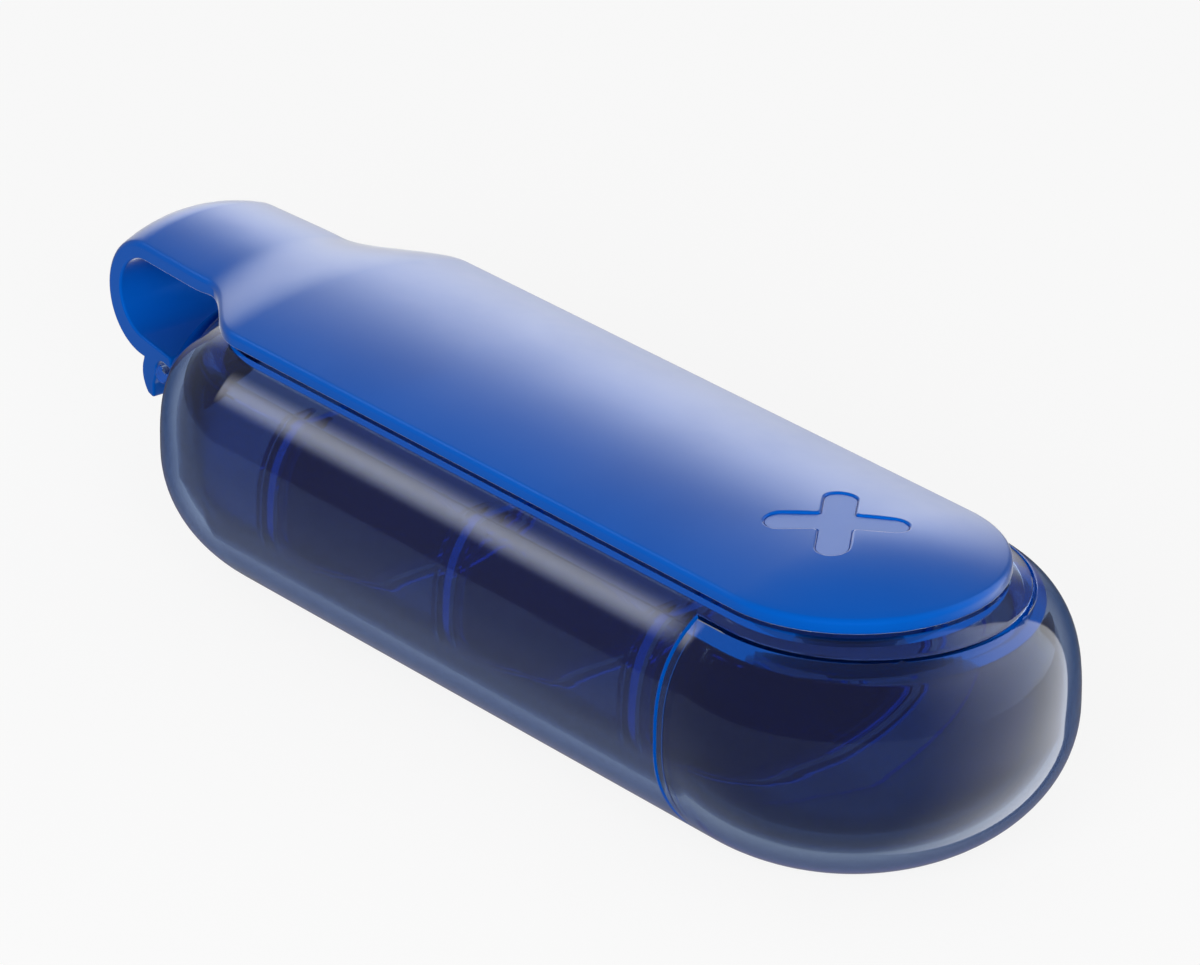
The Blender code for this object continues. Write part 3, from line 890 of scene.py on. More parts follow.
@dataclass(frozen=True)
class ClearCase:
    """Sleeve of the case, the drawer front that closes it and the hitch rail."""

    form: CaseForm
    front_length: float = 0.0229
    nose_side_margin: float = 0.0048
    nose_end_margin: float = 0.00415
    nose_drop: float = 0.0032
    well_relief: float = 0.0006
    mouth_radius: float = 0.0110
    mouth_in: float = 0.0260
    mouth_inset: float = 0.0002
    stud_in: float = 0.0083
    stud_radius: float = 0.0015
    stud_hole_steps: int = 15
    rail_out: float = 0.0029
    rail_height: float = 0.0012
    rail_radius: float = 0.0009
    web_half: float = 0.00045
    rim_round: float = 0.00014
    rail_round: float = 0.00025
    bead_steps: int = 40
    rail_steps: int = 24
    rail_round_steps: int = 4

    @property
    def seam(self) -> float:
        """Return the x of the line between the sleeve and the front."""
        return self.form.end - self.front_length

    @property
    def nose_radius(self) -> float:
        """Return the radius of the deck's round nose."""
        return self.form.radius - self.nose_side_margin

    @property
    def nose_centre(self) -> float:
        """Return the x of the centre of the nose."""
        return self.form.end - self.nose_end_margin - self.nose_radius

    def hollow_body(self, name: str) -> Piece:
        """Return the whole case as a hollow stadium of one wall."""
        form = self.form
        piece = as_object(name, form.body(0.0, form.deck))
        combine(piece, form.body(form.wall, form.deck - form.wall), Cut.TAKE_AWAY)
        return piece

    def nose(self, grow: float, low: float, left: float) -> bmesh.types.BMesh:
        """Return the prism that parts the deck's nose from the front.

        Args:
            grow: how much larger than the nose it is.
            low: the height of its foot.
            left: x of its left centre.

        Returns:
            The prism.
        """
        form = self.form
        high = form.rise + OVERRUN + form.lift
        return stadium(self.nose_radius + grow, left, self.nose_centre, low + form.lift, high,
                       form.turn_steps)

    def shell(self, material: Material) -> Piece:
        """Build the sleeve with its mouth, stud hole and nosed deck.

        Args:
            material: the sleeve's finish.

        Returns:
            The sleeve.
        """
        form = self.form
        piece = self.hollow_body("sleeve")
        mouth_low = form.deck - form.wall - OVERRUN + form.lift
        mouth_high = form.deck + OVERRUN + form.lift
        combine(piece, stadium(self.mouth_radius, self.mouth_in - form.end, form.spine - self.mouth_inset,
                               mouth_low, mouth_high, form.turn_steps), Cut.TAKE_AWAY)
        hole = self.stud_radius + form.gap
        stud_x = self.stud_in - form.end
        # A stadium of next to no length makes the round hole for the stud.
        combine(piece, stadium(hole, stud_x - WELD, stud_x + WELD, mouth_high - OVERRUN - 2 * form.wall,
                               mouth_high, self.stud_hole_steps), Cut.TAKE_AWAY)
        half = form.gap / 2
        relief = as_object("front_relief", block(
            (self.seam - half, -form.width, -OVERRUN), (form.end + OVERRUN, form.width, form.width)))
        cut = form.deck - self.nose_drop
        combine(relief, self.nose(-half, cut, self.seam - form.radius), Cut.TAKE_AWAY)
        combine(piece, as_bmesh(relief), Cut.TAKE_AWAY)
        round_rims(piece, self.rim_round, self.at_front)
        return dress(piece, material, Body.CASE, Slot.CASE, ["outer_shell"])

    def at_front(self, edge: bmesh.types.BMEdge) -> bool:
        """Tell whether an edge lies on the line between sleeve and front.

        Args:
            edge: the edge to look at.

        Returns:
            True on the seam or along the outside of the nose.
        """
        near = 3 * self.form.gap
        middle = (edge.verts[0].co + edge.verts[1].co) / 2
        if middle.x < self.seam - near:
            return False
        on_seam = all(abs(vert.co.x - self.seam) < near for vert in edge.verts)
        ahead = max(middle.x - self.nose_centre, 0.0)
        from_nose = abs(math.hypot(ahead, middle.y) - self.nose_radius)
        return on_seam or (from_nose < near and middle.z > self.form.lift)

    def front(self, material: Material) -> Piece:
        """Build the clear drawer front with the well that takes the nose.

        Args:
            material: the front's finish.

        Returns:
            The front.
        """
        form = self.form
        half = form.gap / 2
        piece = self.hollow_body("drawer_front")
        well = form.deck - self.nose_drop - half - self.well_relief
        combine(piece, self.nose(half, well, -form.spine), Cut.TAKE_AWAY)
        combine(piece, block((-form.end - OVERRUN, -form.width, -OVERRUN),
                             (self.seam + half, form.width, form.width)), Cut.TAKE_AWAY)
        round_rims(piece, self.rim_round, self.at_front)
        return dress(piece, material, Body.TRAY, Slot.CASE, ["tray_front"])

    def rail(self, material: Material, length: float) -> Piece:
        """Build the clear bead on its web that the hook tail clips over.

        Args:
            material: the rail's finish.
            length: how long the rail is across the case.

        Returns:
            The rail.
        """
        form = self.form
        rail_x = -form.end - self.rail_out
        wrap = math.degrees(math.asin(self.web_half / self.rail_radius))
        bead = arc((rail_x, self.rail_height), self.rail_radius, wrap, 360.0 - wrap, self.bead_steps)
        # The web's root has no x of its own, because it follows the case's round end.
        root_top = (None, self.rail_height + self.web_half)
        root_foot = (None, self.rail_height - self.web_half)
        outline = [root_top, *bead, root_foot]
        stand = form.radius + form.gap
        half = length / 2
        across = [inset - half for inset in quarter_insets(self.rail_round, self.rail_round_steps)]
        middle = spread(across[-1], -across[-1], self.rail_steps)[1:-1]
        across += middle + [-y for y in reversed(across)]

        def place(column: int, row: int) -> Vector:
            """Return one corner of the rail, drawn in near its ends."""
            y = across[column]
            drop = edge_drop(half - abs(y), self.rail_round)
            x, height = outline[row % len(outline)]
            side = height - self.rail_height
            if x is None:
                x = -form.spine - math.sqrt(stand * stand - y * y)
                side -= math.copysign(drop, side)
            else:
                shrink = 1.0 - drop / self.rail_radius
                x = rail_x + (x - rail_x) * shrink
                side *= shrink
            return Vector((x, y, self.rail_height + side + form.lift))

        bm = shaped_grid(len(across), len(outline) + 1, place)
        close_rims(bm)
        return dress(as_object("hitch_bar", bm), material, Body.CASE, Slot.CASE, ["hitch_rail"])


@dataclass(frozen=True)
class DrawerTray:
    """Round ended tub in the sleeve, with paired ribs and drop-in dividers."""

    form: CaseForm
    wall: float = 0.0012
    clearance: float = 0.00155
    slot_pitch: float = 0.0265
    slot_count: int = 3
    plate_thickness: float = 0.0012
    plate_drop: float = 0.0008
    plate_corner: float = 0.0012
    plate_round: float = 0.00022
    rib_width: float = 0.0008
    rib_depth: float = 0.0009
    rib_drop: float = 0.0005
    lip_steps: int = 8

    @property
    def top(self) -> float:
        """Return the height of the tray's rim."""
        return self.form.deck - self.form.wall - self.clearance

    @property
    def outer(self) -> float:
        """Return how far the tray's outside lies inside the case's outside."""
        return self.form.wall + self.form.gap

    @property
    def inner(self) -> float:
        """Return how far the tray's inside lies inside the case's outside."""
        return self.outer + self.wall

    def slots(self) -> list[float]:
        """Return the x of every divider."""
        return [self.slot_pitch * (index - (self.slot_count - 1) / 2) for index in range(self.slot_count)]

    def across(self, inset: float, top: float) -> list[Pair]:
        """Return a full section across the case as (y, height) points.

        Args:
            inset: how far the section lies inside the case's outside.
            top: the height at which it is cut off.

        Returns:
            The points from the near top edge round to the far one.
        """
        far = self.form.side(inset, top, self.form.floor(inset))
        return [(-reach, height) for reach, height in reversed(far)] + far

    def tub(self) -> bmesh.types.BMesh:
        """Return the tub with its rounded rim."""
        form = self.form
        half = self.wall / 2
        rim = self.top - half
        outside = form.side(self.outer, rim, form.floor(self.outer))
        inside = form.side(self.inner, rim, form.floor(self.inner))
        middle = (outside[-1][0] + inside[-1][0]) / 2
        stretch = (outside[-1][0] - inside[-1][0]) / 2
        bow = arc((0.0, 0.0), 1.0, 0.0, 180.0, self.lip_steps)
        lip = [(middle + x * stretch, rim + y * half) for x, y in bow]
        profile = outside + lip[1:-1] + list(reversed(inside))
        return run_round([(reach, height + form.lift) for reach, height in profile],
                         -form.spine, form.spine, form.turn_steps)

    def rib(self, x: float) -> bmesh.types.BMesh:
        """Return one rib that follows the inside of the tub at one x."""
        top = self.top - self.rib_drop
        lift = self.form.lift
        root = self.across(self.inner - self.wall / 2, top)
        crest = self.across(self.inner + self.rib_depth, top)
        outline = [Vector((x - self.rib_width / 2, y, height + lift)) for y, height in root + crest[::-1]]
        return pushed_up(outline, Vector((self.rib_width, 0.0, 0.0)))

    def build_tub(self, material: Material) -> Piece:
        """Build the tub and join the ribs to it.

        Args:
            material: the tub's finish.

        Returns:
            The tub.
        """
        piece = as_object("tub", self.tub())
        offset = self.plate_thickness / 2 + self.form.gap + self.rib_width / 2
        for x in self.slots():
            for side in (-1.0, 1.0):
                combine(piece, self.rib(x + side * offset), Cut.ADD)
        return dress(piece, material, Body.TRAY, Slot.TRAY, ["inner_tray"])

    def build_divider(self, index: int, x: float, material: Material) -> Piece:
        """Build one divider plate with rounded corners and edges.

        Args:
            index: its number, from 0.
            x: where it stands.
            material: its finish.

        Returns:
            The divider.
        """
        inset = self.inner + self.form.gap
        outline = self.across(inset, self.top - self.plate_drop)
        first, last = outline[0], outline[-1]
        near_corner = rounded(last, first, outline[1], self.plate_corner)
        far_corner = rounded(outline[-2], last, first, self.plate_corner)
        outline = near_corner + outline[CORNER_POINTS:-CORNER_POINTS] + far_corner
        flat = [Vector((x - self.plate_thickness / 2, y, height + self.form.lift)) for y, height in outline]
        plate = pushed_up(flat, Vector((self.plate_thickness, 0.0, 0.0)))
        piece = as_object("partition_%d" % (index + 1), plate)
        round_rims(piece, self.plate_round, lambda edge: True, weld=WELD)
        return dress(piece, material, Body.TRAY, Slot.TRAY, ["divider_%d" % (index + 1)])

    def build(self, material: Material) -> None:
        """Build the tub and its dividers in one finish."""
        self.build_tub(material)
        for index, x in enumerate(self.slots()):
            self.build_divider(index, x, material)


@dataclass(frozen=True)
class SoftMoulding:
    """Soft cover, neck and carry loop, moulded in one piece."""

    case: CaseForm
    spine: float
    radius: float
    top: float
    crown: float = 0.0023
    strap_crown: float = 0.0016
    edge: float = 0.0013
    strap_edge: float = 0.0016
    strap_end: float = 0.00202
    shoulder_in: float = 0.0170
    neck_in: float = 0.0050
    join_in: float = 0.00675
    join_step: float = 0.00002
    join_ease: float = 0.0025
    neck_width: float = 0.0166
    loop_taper: float = 0.0008
    top_round: float = 0.00045
    low_round: float = 0.00025
    tail_round: float = 0.00022
    cover_bend_in: float = 0.0100
    loop_bend_in: float = 0.0035
    cover_fold: float = 0.0018
    loop_fold: float = 0.0019
    eye_out: float = 0.0056
    eye_radius: float = 0.0041
    eye_turn: float = 172.0
    notch_turn: float = 177.0
    crown_start: float = 250.0
    crown_full: float = 135.0
    tail_length: float = 0.0048
    lip_round: float = 0.0005
    groove_start: float = 52.0
    groove_end: float = 215.0
    tab_radius: float = 0.0031
    tab_back: float = 0.00045
    tab_drop: float = 0.0007
    tab_start: float = 152.0
    tab_end: float = 229.0
    tab_gape: float = 0.0007
    tab_reach: float = 0.0031
    tab_tip_round: float = 0.0003
    fan: float = 0.0120
    cross_in: float = 0.0226
    cross_length: float = 0.0129
    cross_width: float = 0.0031
    cross_depth: float = 0.00030
    cross_rim: float = 0.00022
    cross_foot: float = 0.00012
    cross_rim_turn: float = 75.0
    cross_bay_share: float = 1 / 9
    cross_arms: int = 4
    cross_turn: float = 45.0
    cross_above_share: float = 0.25
    skirt_radius: float = 0.0107
    skirt_wall: float = 0.0012
    skirt_depth: float = 0.0020
    skirt_lead: float = 0.0004
    stud_flare: float = 0.0004
    stud_head: float = 0.0006
    stud_round: float = 0.0002
    stud_flare_turn: float = -45.0
    neck_steps: int = 22
    cover_steps: int = 64
    tip_steps: int = 48
    across_steps: int = 22
    top_round_steps: int = 7
    low_round_steps: int = 4
    strap_steps: int = 26
    eye_steps: int = 44
    groove_steps: int = 22
    tab_steps: int = 20
    back_steps: int = 48
    cross_tip_steps: int = 20
    cross_bay_steps: int = 5
    cross_foot_steps: int = 4
    cross_rim_steps: int = 6
    skirt_steps: int = 48
    skirt_foot_steps: int = 4
    skirt_lead_steps: int = 6
    stud_steps: int = 32
    stud_round_steps: int = 5

    @classmethod
    def from_frame(cls, case: CaseForm) -> "SoftMoulding":
        """Take the cover's reach and height from the frame."""
        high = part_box("lid_cover")[1]
        return cls(case=case, spine=high.x - high.y, radius=high.y, top=high.z - case.lift)

    @property
    def rim(self) -> float:
        """Return the height at which the crown meets the edge."""
        return self.top - self.crown

    @property
    def base(self) -> float:
        """Return the height of the cover's underside."""
        return self.rim - self.edge

    @property
    def strap_base(self) -> float:
        """Return the height of the underside of the loop's strap."""
        return self.rim - self.strap_edge

    @property
    def neck_x(self) -> float:
        """Return the x at which the neck ends and the shoulders start."""
        return self.neck_in - self.case.end

    @property
    def shoulder_x(self) -> float:
        """Return the x at which the cover has its full width."""
        return self.shoulder_in - self.case.end

    @property
    def join_x(self) -> float:
        """Return the x in the neck at which cover and loop abut."""
        return self.join_in - self.case.end

    @property
    def cover_bend(self) -> float:
        """Return the x of the line that the cover bends about."""
        return self.cover_bend_in - self.case.end

    @property
    def loop_bend(self) -> float:
        """Return the x of the line that the loop bends about."""
        return self.loop_bend_in - self.case.end

    @property
    def eye_x(self) -> float:
        """Return the x of the middle of the loop's eye."""
        return -self.case.end - self.eye_out

    def half(self, x: float) -> float:
        """Return half the moulding's width at one x."""
        widen = smooth_share(x, self.neck_x, self.shoulder_x)
        taper = smooth_share(-x, -self.loop_bend, -self.eye_x)
        neck = self.neck_width / 2
        return neck + (self.radius - neck) * widen - self.loop_taper / 2 * taper

    def crown_at(self, x: float) -> float:
        """Return how far the middle stands above the rim at one x."""
        share = smooth_share(x, self.neck_x, self.shoulder_x)
        return self.strap_crown + (self.crown - self.strap_crown) * share

    def base_at(self, x: float) -> float:
        """Return the height of the underside at one x."""
        share = smooth_share(-x, -self.join_x, -self.loop_bend)
        return self.base + (self.strap_base - self.base) * share

    def surface(self, x: float, y: float) -> float:
        """Return the height of the crowned top at one place.

        Args:
            x: along the case.
            y: across it.

        Returns:
            The height, without the rounding of the edge.
        """
        away = math.hypot(y, max(x - self.spine, 0.0))
        share = min(away / self.half(min(x, self.spine)), 1.0)
        return self.rim + self.crown_at(x) * (1.0 - share * share)

    def stations(self) -> list[tuple[Vector, Vector, Vector]]:
        """Return (rim point, inward direction, spine point) along the near edge.

        The spine points of the round tip are spread over a stretch of the
        spine, so that no pole gathers there.

        Returns:
            One entry for each column of the cover, from the join to the tip.
        """
        bend = self.cover_bend + self.cover_fold
        xs = [self.join_x] + spread(self.join_x + self.join_step, bend, self.neck_steps)
        xs += spread(bend, self.shoulder_x, self.neck_steps)[1:]
        xs += spread(self.shoulder_x, self.spine, self.cover_steps)[1:]
        fan_end = self.spine - self.fan
        entries = []
        for x in xs:
            slope = (self.half(x + WELD) - self.half(x - WELD)) / (2 * WELD)
            slope *= smooth_share(x, self.join_x, self.join_x + self.join_ease)
            inward = Vector((slope, 1.0)).normalized()
            share = max(x / self.spine, 0.0)
            entries.append((Vector((x, -self.half(x))), inward, Vector((x - self.fan * share, 0.0))))
        for turn in spread(-90.0, 0.0, self.tip_steps)[1:]:
            out = bearing(turn, 0.0).xy
            middle = Vector((fan_end + self.fan * (1.0 + turn / 90.0), 0.0))
            entries.append((Vector((self.spine, 0.0)) + out * self.radius, -out, middle))
        return entries

    def column(self, rim: Vector, inward: Vector, middle: Vector) -> list[Vector]:
        """Return one column of the cover from underneath to the top.

        Args:
            rim: the point on the plan's outline.
            inward: the direction square to the outline.
            middle: the point on the spine that the column ends at.

        Returns:
            World points from the underside's middle over the edge to the top's.
        """
        lift = self.case.lift
        points = [(middle, self.base)]
        for inset in reversed(quarter_insets(self.low_round, self.low_round_steps)):
            points.append((rim + inward * inset, self.base + edge_drop(inset, self.low_round)))
        for inset in quarter_insets(self.top_round, self.top_round_steps):
            spot = rim + inward * inset
            points.append((spot, self.surface(spot.x, spot.y) - edge_drop(inset, self.top_round)))
        start = points[-1][0]
        for share in spread(0.0, 1.0, self.across_steps)[1:]:
            spot = start.lerp(middle, share)
            points.append((spot, self.surface(spot.x, spot.y)))
        return [Vector((spot.x, spot.y, height + lift)) for spot, height in points]

    def cover_skin(self) -> bmesh.types.BMesh:
        """Return the cover with its half of the neck, closed at the join."""
        columns = [self.column(*entry) for entry in self.stations()]
        bm = shaped_grid(len(columns), len(columns[0]), lambda column, row: columns[column][row])
        bmesh.ops.mirror(bm, geom=bm.verts[:] + bm.edges[:] + bm.faces[:], axis="Y", merge_dist=WELD)
        bmesh.ops.remove_doubles(bm, verts=bm.verts, dist=WELD)
        close_rims(bm)
        return bm

    def cross_ring(self, grow: float) -> list[Vector]:
        """Return the outline of the pressed cross, four round ended arms.

        Args:
            grow: how much wider than its foot the outline is.

        Returns:
            The outline's points in plan.
        """
        half = self.cross_width / 2 + grow
        straight = (self.cross_length - self.cross_width) / 2
        centre = Vector((self.case.end - self.cross_in, 0.0))
        corner = self.cross_width * self.cross_bay_share
        tip = arc((straight, 0.0), half, -90.0, 90.0, self.cross_tip_steps)
        bay = rounded((straight, half), (half, half), (half, straight), corner, self.cross_bay_steps)
        points = []
        for arm in range(self.cross_arms):
            angle = self.cross_turn + 360.0 / self.cross_arms * arm
            turn = Matrix.Rotation(math.radians(angle), 2)
            points += [centre + turn @ Vector(point) for point in tip + bay]
        return points

    def cross_tool(self) -> bmesh.types.BMesh:
        """Return the body pressed into the cover, with a soft rim and foot.

        The rim ends short of level and runs on straight to a little above the
        cover, so that the cut through the crowned top stays clean.
        """
        foot, rim, depth = self.cross_foot, self.cross_rim, self.cross_depth
        rows = []
        for turn in spread(90.0, 0.0, self.cross_foot_steps):
            angle = math.radians(turn)
            rows.append((-foot * math.sin(angle), foot * (1.0 - math.cos(angle)) - depth))
        for turn in spread(0.0, self.cross_rim_turn, self.cross_rim_steps):
            angle = math.radians(turn)
            rows.append((rim * (1.0 - math.cos(angle)), rim * (math.sin(angle) - 1.0)))
        out, last = rows[-1]
        above = rim * self.cross_above_share
        rows.append((out + (above - last) / math.tan(math.radians(90.0 - self.cross_rim_turn)), above))
        rows.append((rows[-1][0], OVERRUN))
        rings = [self.cross_ring(grow) for grow, height in rows]

        def place(column: int, row: int) -> Vector:
            """Return one corner of the pressing body."""
            spot = rings[row][column % len(rings[row])]
            return Vector((spot.x, spot.y, self.surface(spot.x, spot.y) + rows[row][1] + self.case.lift))

        bm = shaped_grid(len(rings[0]) + 1, len(rows), place)
        close_rims(bm)
        return bm

    def on_cross_rim(self, edge: bmesh.types.BMEdge) -> bool:
        """Tell whether an edge lies in the cover's top close to the cross.

        Args:
            edge: the edge to look at.

        Returns:
            True if both its ends lie in the crowned top.
        """
        centre = Vector((self.case.end - self.cross_in, 0.0))
        for spot in (vert.co for vert in edge.verts):
            above = spot.z - self.case.lift - self.surface(spot.x, spot.y)
            if (spot.xy - centre).length >= self.cross_length or abs(above) >= 5 * WELD:
                return False
        return True

    def build_cover(self, material: Material) -> Piece:
        """Build the cover, pressed with the cross, as one skin.

        Args:
            material: the moulding's finish.

        Returns:
            The cover.
        """
        piece = as_object("cover_skin", self.cover_skin())
        combine(piece, self.cross_tool(), Cut.TAKE_AWAY)
        finish_surface(piece, material, SOFT_SHARP_ANGLE, self.on_cross_rim)
        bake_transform(piece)
        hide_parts("lid_cover", "neck_pad")
        log.info("%s bends from case to lid with %d faces", piece.name, len(piece.data.polygons))
        return piece

    def loop_outline(self, rail: ClearCase) -> list[tuple[float, float, float, float]]:
        """Return the loop seen from the side.

        It runs along the inner face from the join round the eye to the tail,
        over the lip, the groove for the rail and the pull tab, and back along
        the outer face, whose centre is set off so that the strap thickens.

        Args:
            rail: the case that carries the rail.

        Returns:
            (x, height, crown share, edge rounding) of each point.
        """
        bend = self.loop_bend - self.loop_fold
        lay = [self.join_x] + spread(self.join_x - self.join_step, bend, self.strap_steps)
        eye = (self.eye_x, self.strap_base - self.eye_radius)
        inner = [(x, self.base_at(x)) for x in lay]
        inner += arc(eye, self.eye_radius, 90.0, 90.0 + self.eye_turn, self.eye_steps)
        heading = bearing(self.eye_turn - 180.0, 0.0)
        tip = (inner[-1][0] + self.tail_length * heading.x, inner[-1][1] + self.tail_length * heading.y)
        rail_spot = (-self.case.end - rail.rail_out, rail.rail_height)
        groove = arc(rail_spot, rail.rail_radius + self.case.gap, self.groove_start, self.groove_end,
                     self.groove_steps)
        foot = (tip[0], groove[0][1])
        lip = rounded(inner[-1], tip, foot, self.lip_round)
        lip += rounded(tip, foot, groove[2], self.tail_round)
        tab_centre = (rail_spot[0] - self.tab_back, rail_spot[1] - self.tab_drop)
        back = arc(tab_centre, self.tab_radius, self.tab_end, self.tab_start, self.tab_steps)
        face_x = groove[-1][0] - self.tab_gape
        face_top = (face_x, rail_spot[1] - self.tab_reach / 2)
        face_tip = (face_x, rail_spot[1] - self.tab_reach)
        tab = rounded(groove[-2], face_top, face_tip, self.tab_gape)
        tab += rounded(face_top, face_tip, back[0], self.tab_tip_round)
        outline = [(x, z, 0.0, self.low_round) for x, z in inner]
        groove = groove[CORNER_POINTS:-CORNER_POINTS]
        outline += [(x, z, 0.0, self.tail_round) for x, z in lip + groove + tab + back[1:]]
        offset = (self.strap_end - self.strap_edge) / 2
        hub = (eye[0] - offset, eye[1] - offset)
        radius = self.eye_radius + self.strap_edge + offset
        for angle in spread(90.0 + self.notch_turn, 90.0, self.back_steps):
            share = smooth_share(-angle, -self.crown_start, -self.crown_full)
            out = bearing(angle, 0.0) * radius
            rounding = self.tail_round + (self.top_round - self.tail_round) * share
            outline.append((hub[0] + out.x, hub[1] + out.y, share, rounding))
        outline += [(x, self.rim, 1.0, self.top_round) for x in reversed(lay)]
        return outline

    def loop_skin(self, rail: ClearCase) -> bmesh.types.BMesh:
        """Return the loop with its half of the neck.

        Args:
            rail: the case that carries the rail.

        Returns:
            The closed mesh.
        """
        outline = self.loop_outline(rail)
        count = len(outline)
        insets = quarter_insets(self.top_round, self.top_round_steps)
        inner_shares = spread(0.0, 1.0, self.across_steps)[1:]
        steps = len(insets) + len(inner_shares) - 1
        normals = []
        for index, item in enumerate(outline):
            here = Vector(item[:2])
            before = here - Vector(outline[index - 1][:2])
            after = Vector(outline[(index + 1) % count][:2]) - here
            if index == 0:
                before = after
            if index == count - 1:
                after = before
            along = (before.normalized() + after.normalized()).normalized()
            normals.append(Vector((-along.y, along.x)))

        def place(column: int, row: int) -> Vector:
            """Return one corner of the loop, crowned and rounded."""
            index = row % count
            x, height, crown, rounding = outline[index]
            half = self.half(x)
            side = -1.0 if column <= steps else 1.0
            step = column if column <= steps else 2 * steps - column
            if step < len(insets):
                away = half - insets[step]
            else:
                away = (half - insets[-1]) * (1.0 - inner_shares[step - len(insets)])
            share = away / half
            shift = self.crown_at(x) * crown * (1.0 - share * share) - edge_drop(half - away, rounding)
            return Vector((x + normals[index].x * shift, side * away,
                           height + normals[index].y * shift + self.case.lift))

        bm = shaped_grid(2 * steps + 1, count + 1, place)
        close_rims(bm)
        return bm

    def build_loop(self, material: Material, rail: ClearCase) -> Piece:
        """Build the carry loop as one skin.

        Args:
            material: the moulding's finish.
            rail: the case that carries the rail.

        Returns:
            The loop.
        """
        piece = as_object("loop_skin", self.loop_skin(rail))
        finish_surface(piece, material, SOFT_SHARP_ANGLE)
        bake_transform(piece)
        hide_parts("carry_loop")
        log.info("%s bends from case to loop with %d faces", piece.name, len(piece.data.polygons))
        return piece

    def build_skirt(self, material: Material, mouth: ClearCase) -> Piece:
        """Build the plug skirt under the cover that seals the mouth.

        Args:
            material: the moulding's finish.
            mouth: the case that has the mouth.

        Returns:
            The skirt.
        """
        outer = self.skirt_radius
        inner = outer - self.skirt_wall
        low = self.base - self.skirt_depth
        lead = self.skirt_lead
        foot = (outer - lead, low + lead)
        profile = [(inner, self.base)]
        profile += arc((inner + lead / 2, low + lead / 2), lead / 2, 180.0, 270.0, self.skirt_foot_steps)
        profile += arc(foot, lead, -90.0, 0.0, self.skirt_lead_steps) + [(outer, self.base)]
        left = mouth.mouth_in - self.case.end
        right = self.case.spine - mouth.mouth_inset
        profile = [(reach, height + self.case.lift) for reach, height in profile]
        bm = run_round(profile, left, right, self.skirt_steps, closed=True)
        return dress(as_object("plug_skirt", bm), material, Body.LID, Slot.SOFT)

    def build_stud(self, material: Material, hole: ClearCase) -> Piece:
        """Build the stud that holds the neck in the deck's hole.

        Args:
            material: the moulding's finish.
            hole: the case that has the hole.

        Returns:
            The stud.
        """
        shank = hole.stud_radius
        turn = self.stud_round
        head = self.case.deck - self.case.wall - 2 * self.case.gap
        foot = head - self.stud_head
        profile = [(0.0, foot), (shank - turn, foot)]
        profile += arc((shank + self.stud_flare - turn, head - turn), turn, self.stud_flare_turn, 90.0,
                       self.stud_round_steps)
        profile += [(shank, head), (shank, self.base), (0.0, self.base)]
        centre = hole.stud_in - self.case.end
        bm = bmesh.new()
        verts = [bm.verts.new((centre + reach, 0.0, height + self.case.lift)) for reach, height in profile]
        edges = [bm.edges.new(pair) for pair in zip(verts, verts[1:])]
        bmesh.ops.spin(bm, geom=verts + edges, cent=(centre, 0.0, 0.0), axis=(0.0, 0.0, 1.0),
                       angle=2 * math.pi, steps=self.stud_steps, use_merge=True)
        return dress(as_object("neck_stud", bm), material, Body.CASE, Slot.SOFT)

    def build(self, material: Material, case: ClearCase) -> None:
        """Build every part of the moulding in one finish."""
        self.build_cover(material)
        self.build_loop(material, case)
        self.build_skirt(material, case)
        self.build_stud(material, case)


class Pole(Enum):
    """The axis that a curved panel is bent about."""

    UPRIGHT = "Z"
    LENGTHWISE = "X"


@dataclass(frozen=True)
class Softbox:
    """A soft edged panel of light, bent round the object at one distance.

    It shows in glossy and clear surfaces only, and adds to what lies behind it.
    Its turn is counted about the pole and its tilt towards the pole, both in
    degrees. Each soft pair gives the shares that fade in at its start and end.
    """

    name: str
    pole: Pole
    turn: Pair
    tilt: Pair
    radiance: float
    soft_turn: Pair = (0.4, 0.4)
    soft_tilt: Pair = (0.4, 0.4)
    sampled: bool = False
    distance: float = 1.0
    columns: int = 32
    rows: int = 16

    def direction(self, turn: float, tilt: float) -> Vector:
        """Return the direction at one turn and tilt about the pole."""
        upright = bearing(turn, tilt)
        return upright if self.pole is Pole.UPRIGHT else upright.zxy

    def material(self) -> Material:
        """Return a clear glow that fades towards the panel's edges."""
        made, wires = new_material(self.name, cleared=True)
        parts = wires.add("ShaderNodeSeparateXYZ", {0: wires.place("UV")})
        glow = self.radiance
        for axis, (start, end) in (("X", self.soft_turn), ("Y", self.soft_tilt)):
            share = parts.outputs[axis]
            glow = wires.math("MULTIPLY", wires.remap(share, (0.0, start), (0.0, 1.0)), glow)
            glow = wires.math("MULTIPLY", wires.remap(share, (1.0 - end, 1.0), (1.0, 0.0)), glow)
        wires.glow_over(glow, wires.add("ShaderNodeBsdfTransparent"))
        made.cycles.emission_sampling = "FRONT_BACK" if self.sampled else "NONE"
        return made

    def build(self, target: Vector) -> Piece:
        """Build the panel round the target.

        Args:
            target: the point that it looks at.

        Returns:
            The panel, which the camera doesn't see.
        """
        mesh = bpy.data.meshes.new(self.name)
        bm = bmesh.new()
        bm.loops.layers.uv.new("UVMap")
        bmesh.ops.create_grid(bm, x_segments=self.columns, y_segments=self.rows, size=1.0, calc_uvs=True)
        for vert in bm.verts:
            turn = self.turn[0] + (self.turn[1] - self.turn[0]) * (vert.co.x + 1.0) / 2.0
            tilt = self.tilt[0] + (self.tilt[1] - self.tilt[0]) * (vert.co.y + 1.0) / 2.0
            vert.co = target + self.direction(turn, tilt) * self.distance
        bm.to_mesh(mesh)
        bm.free()
        panel = linked(self.name, mesh)
        panel.data.materials.append(self.material())
        panel.visible_camera = False
        panel.visible_shadow = False
        panel.visible_diffuse = False
        return panel


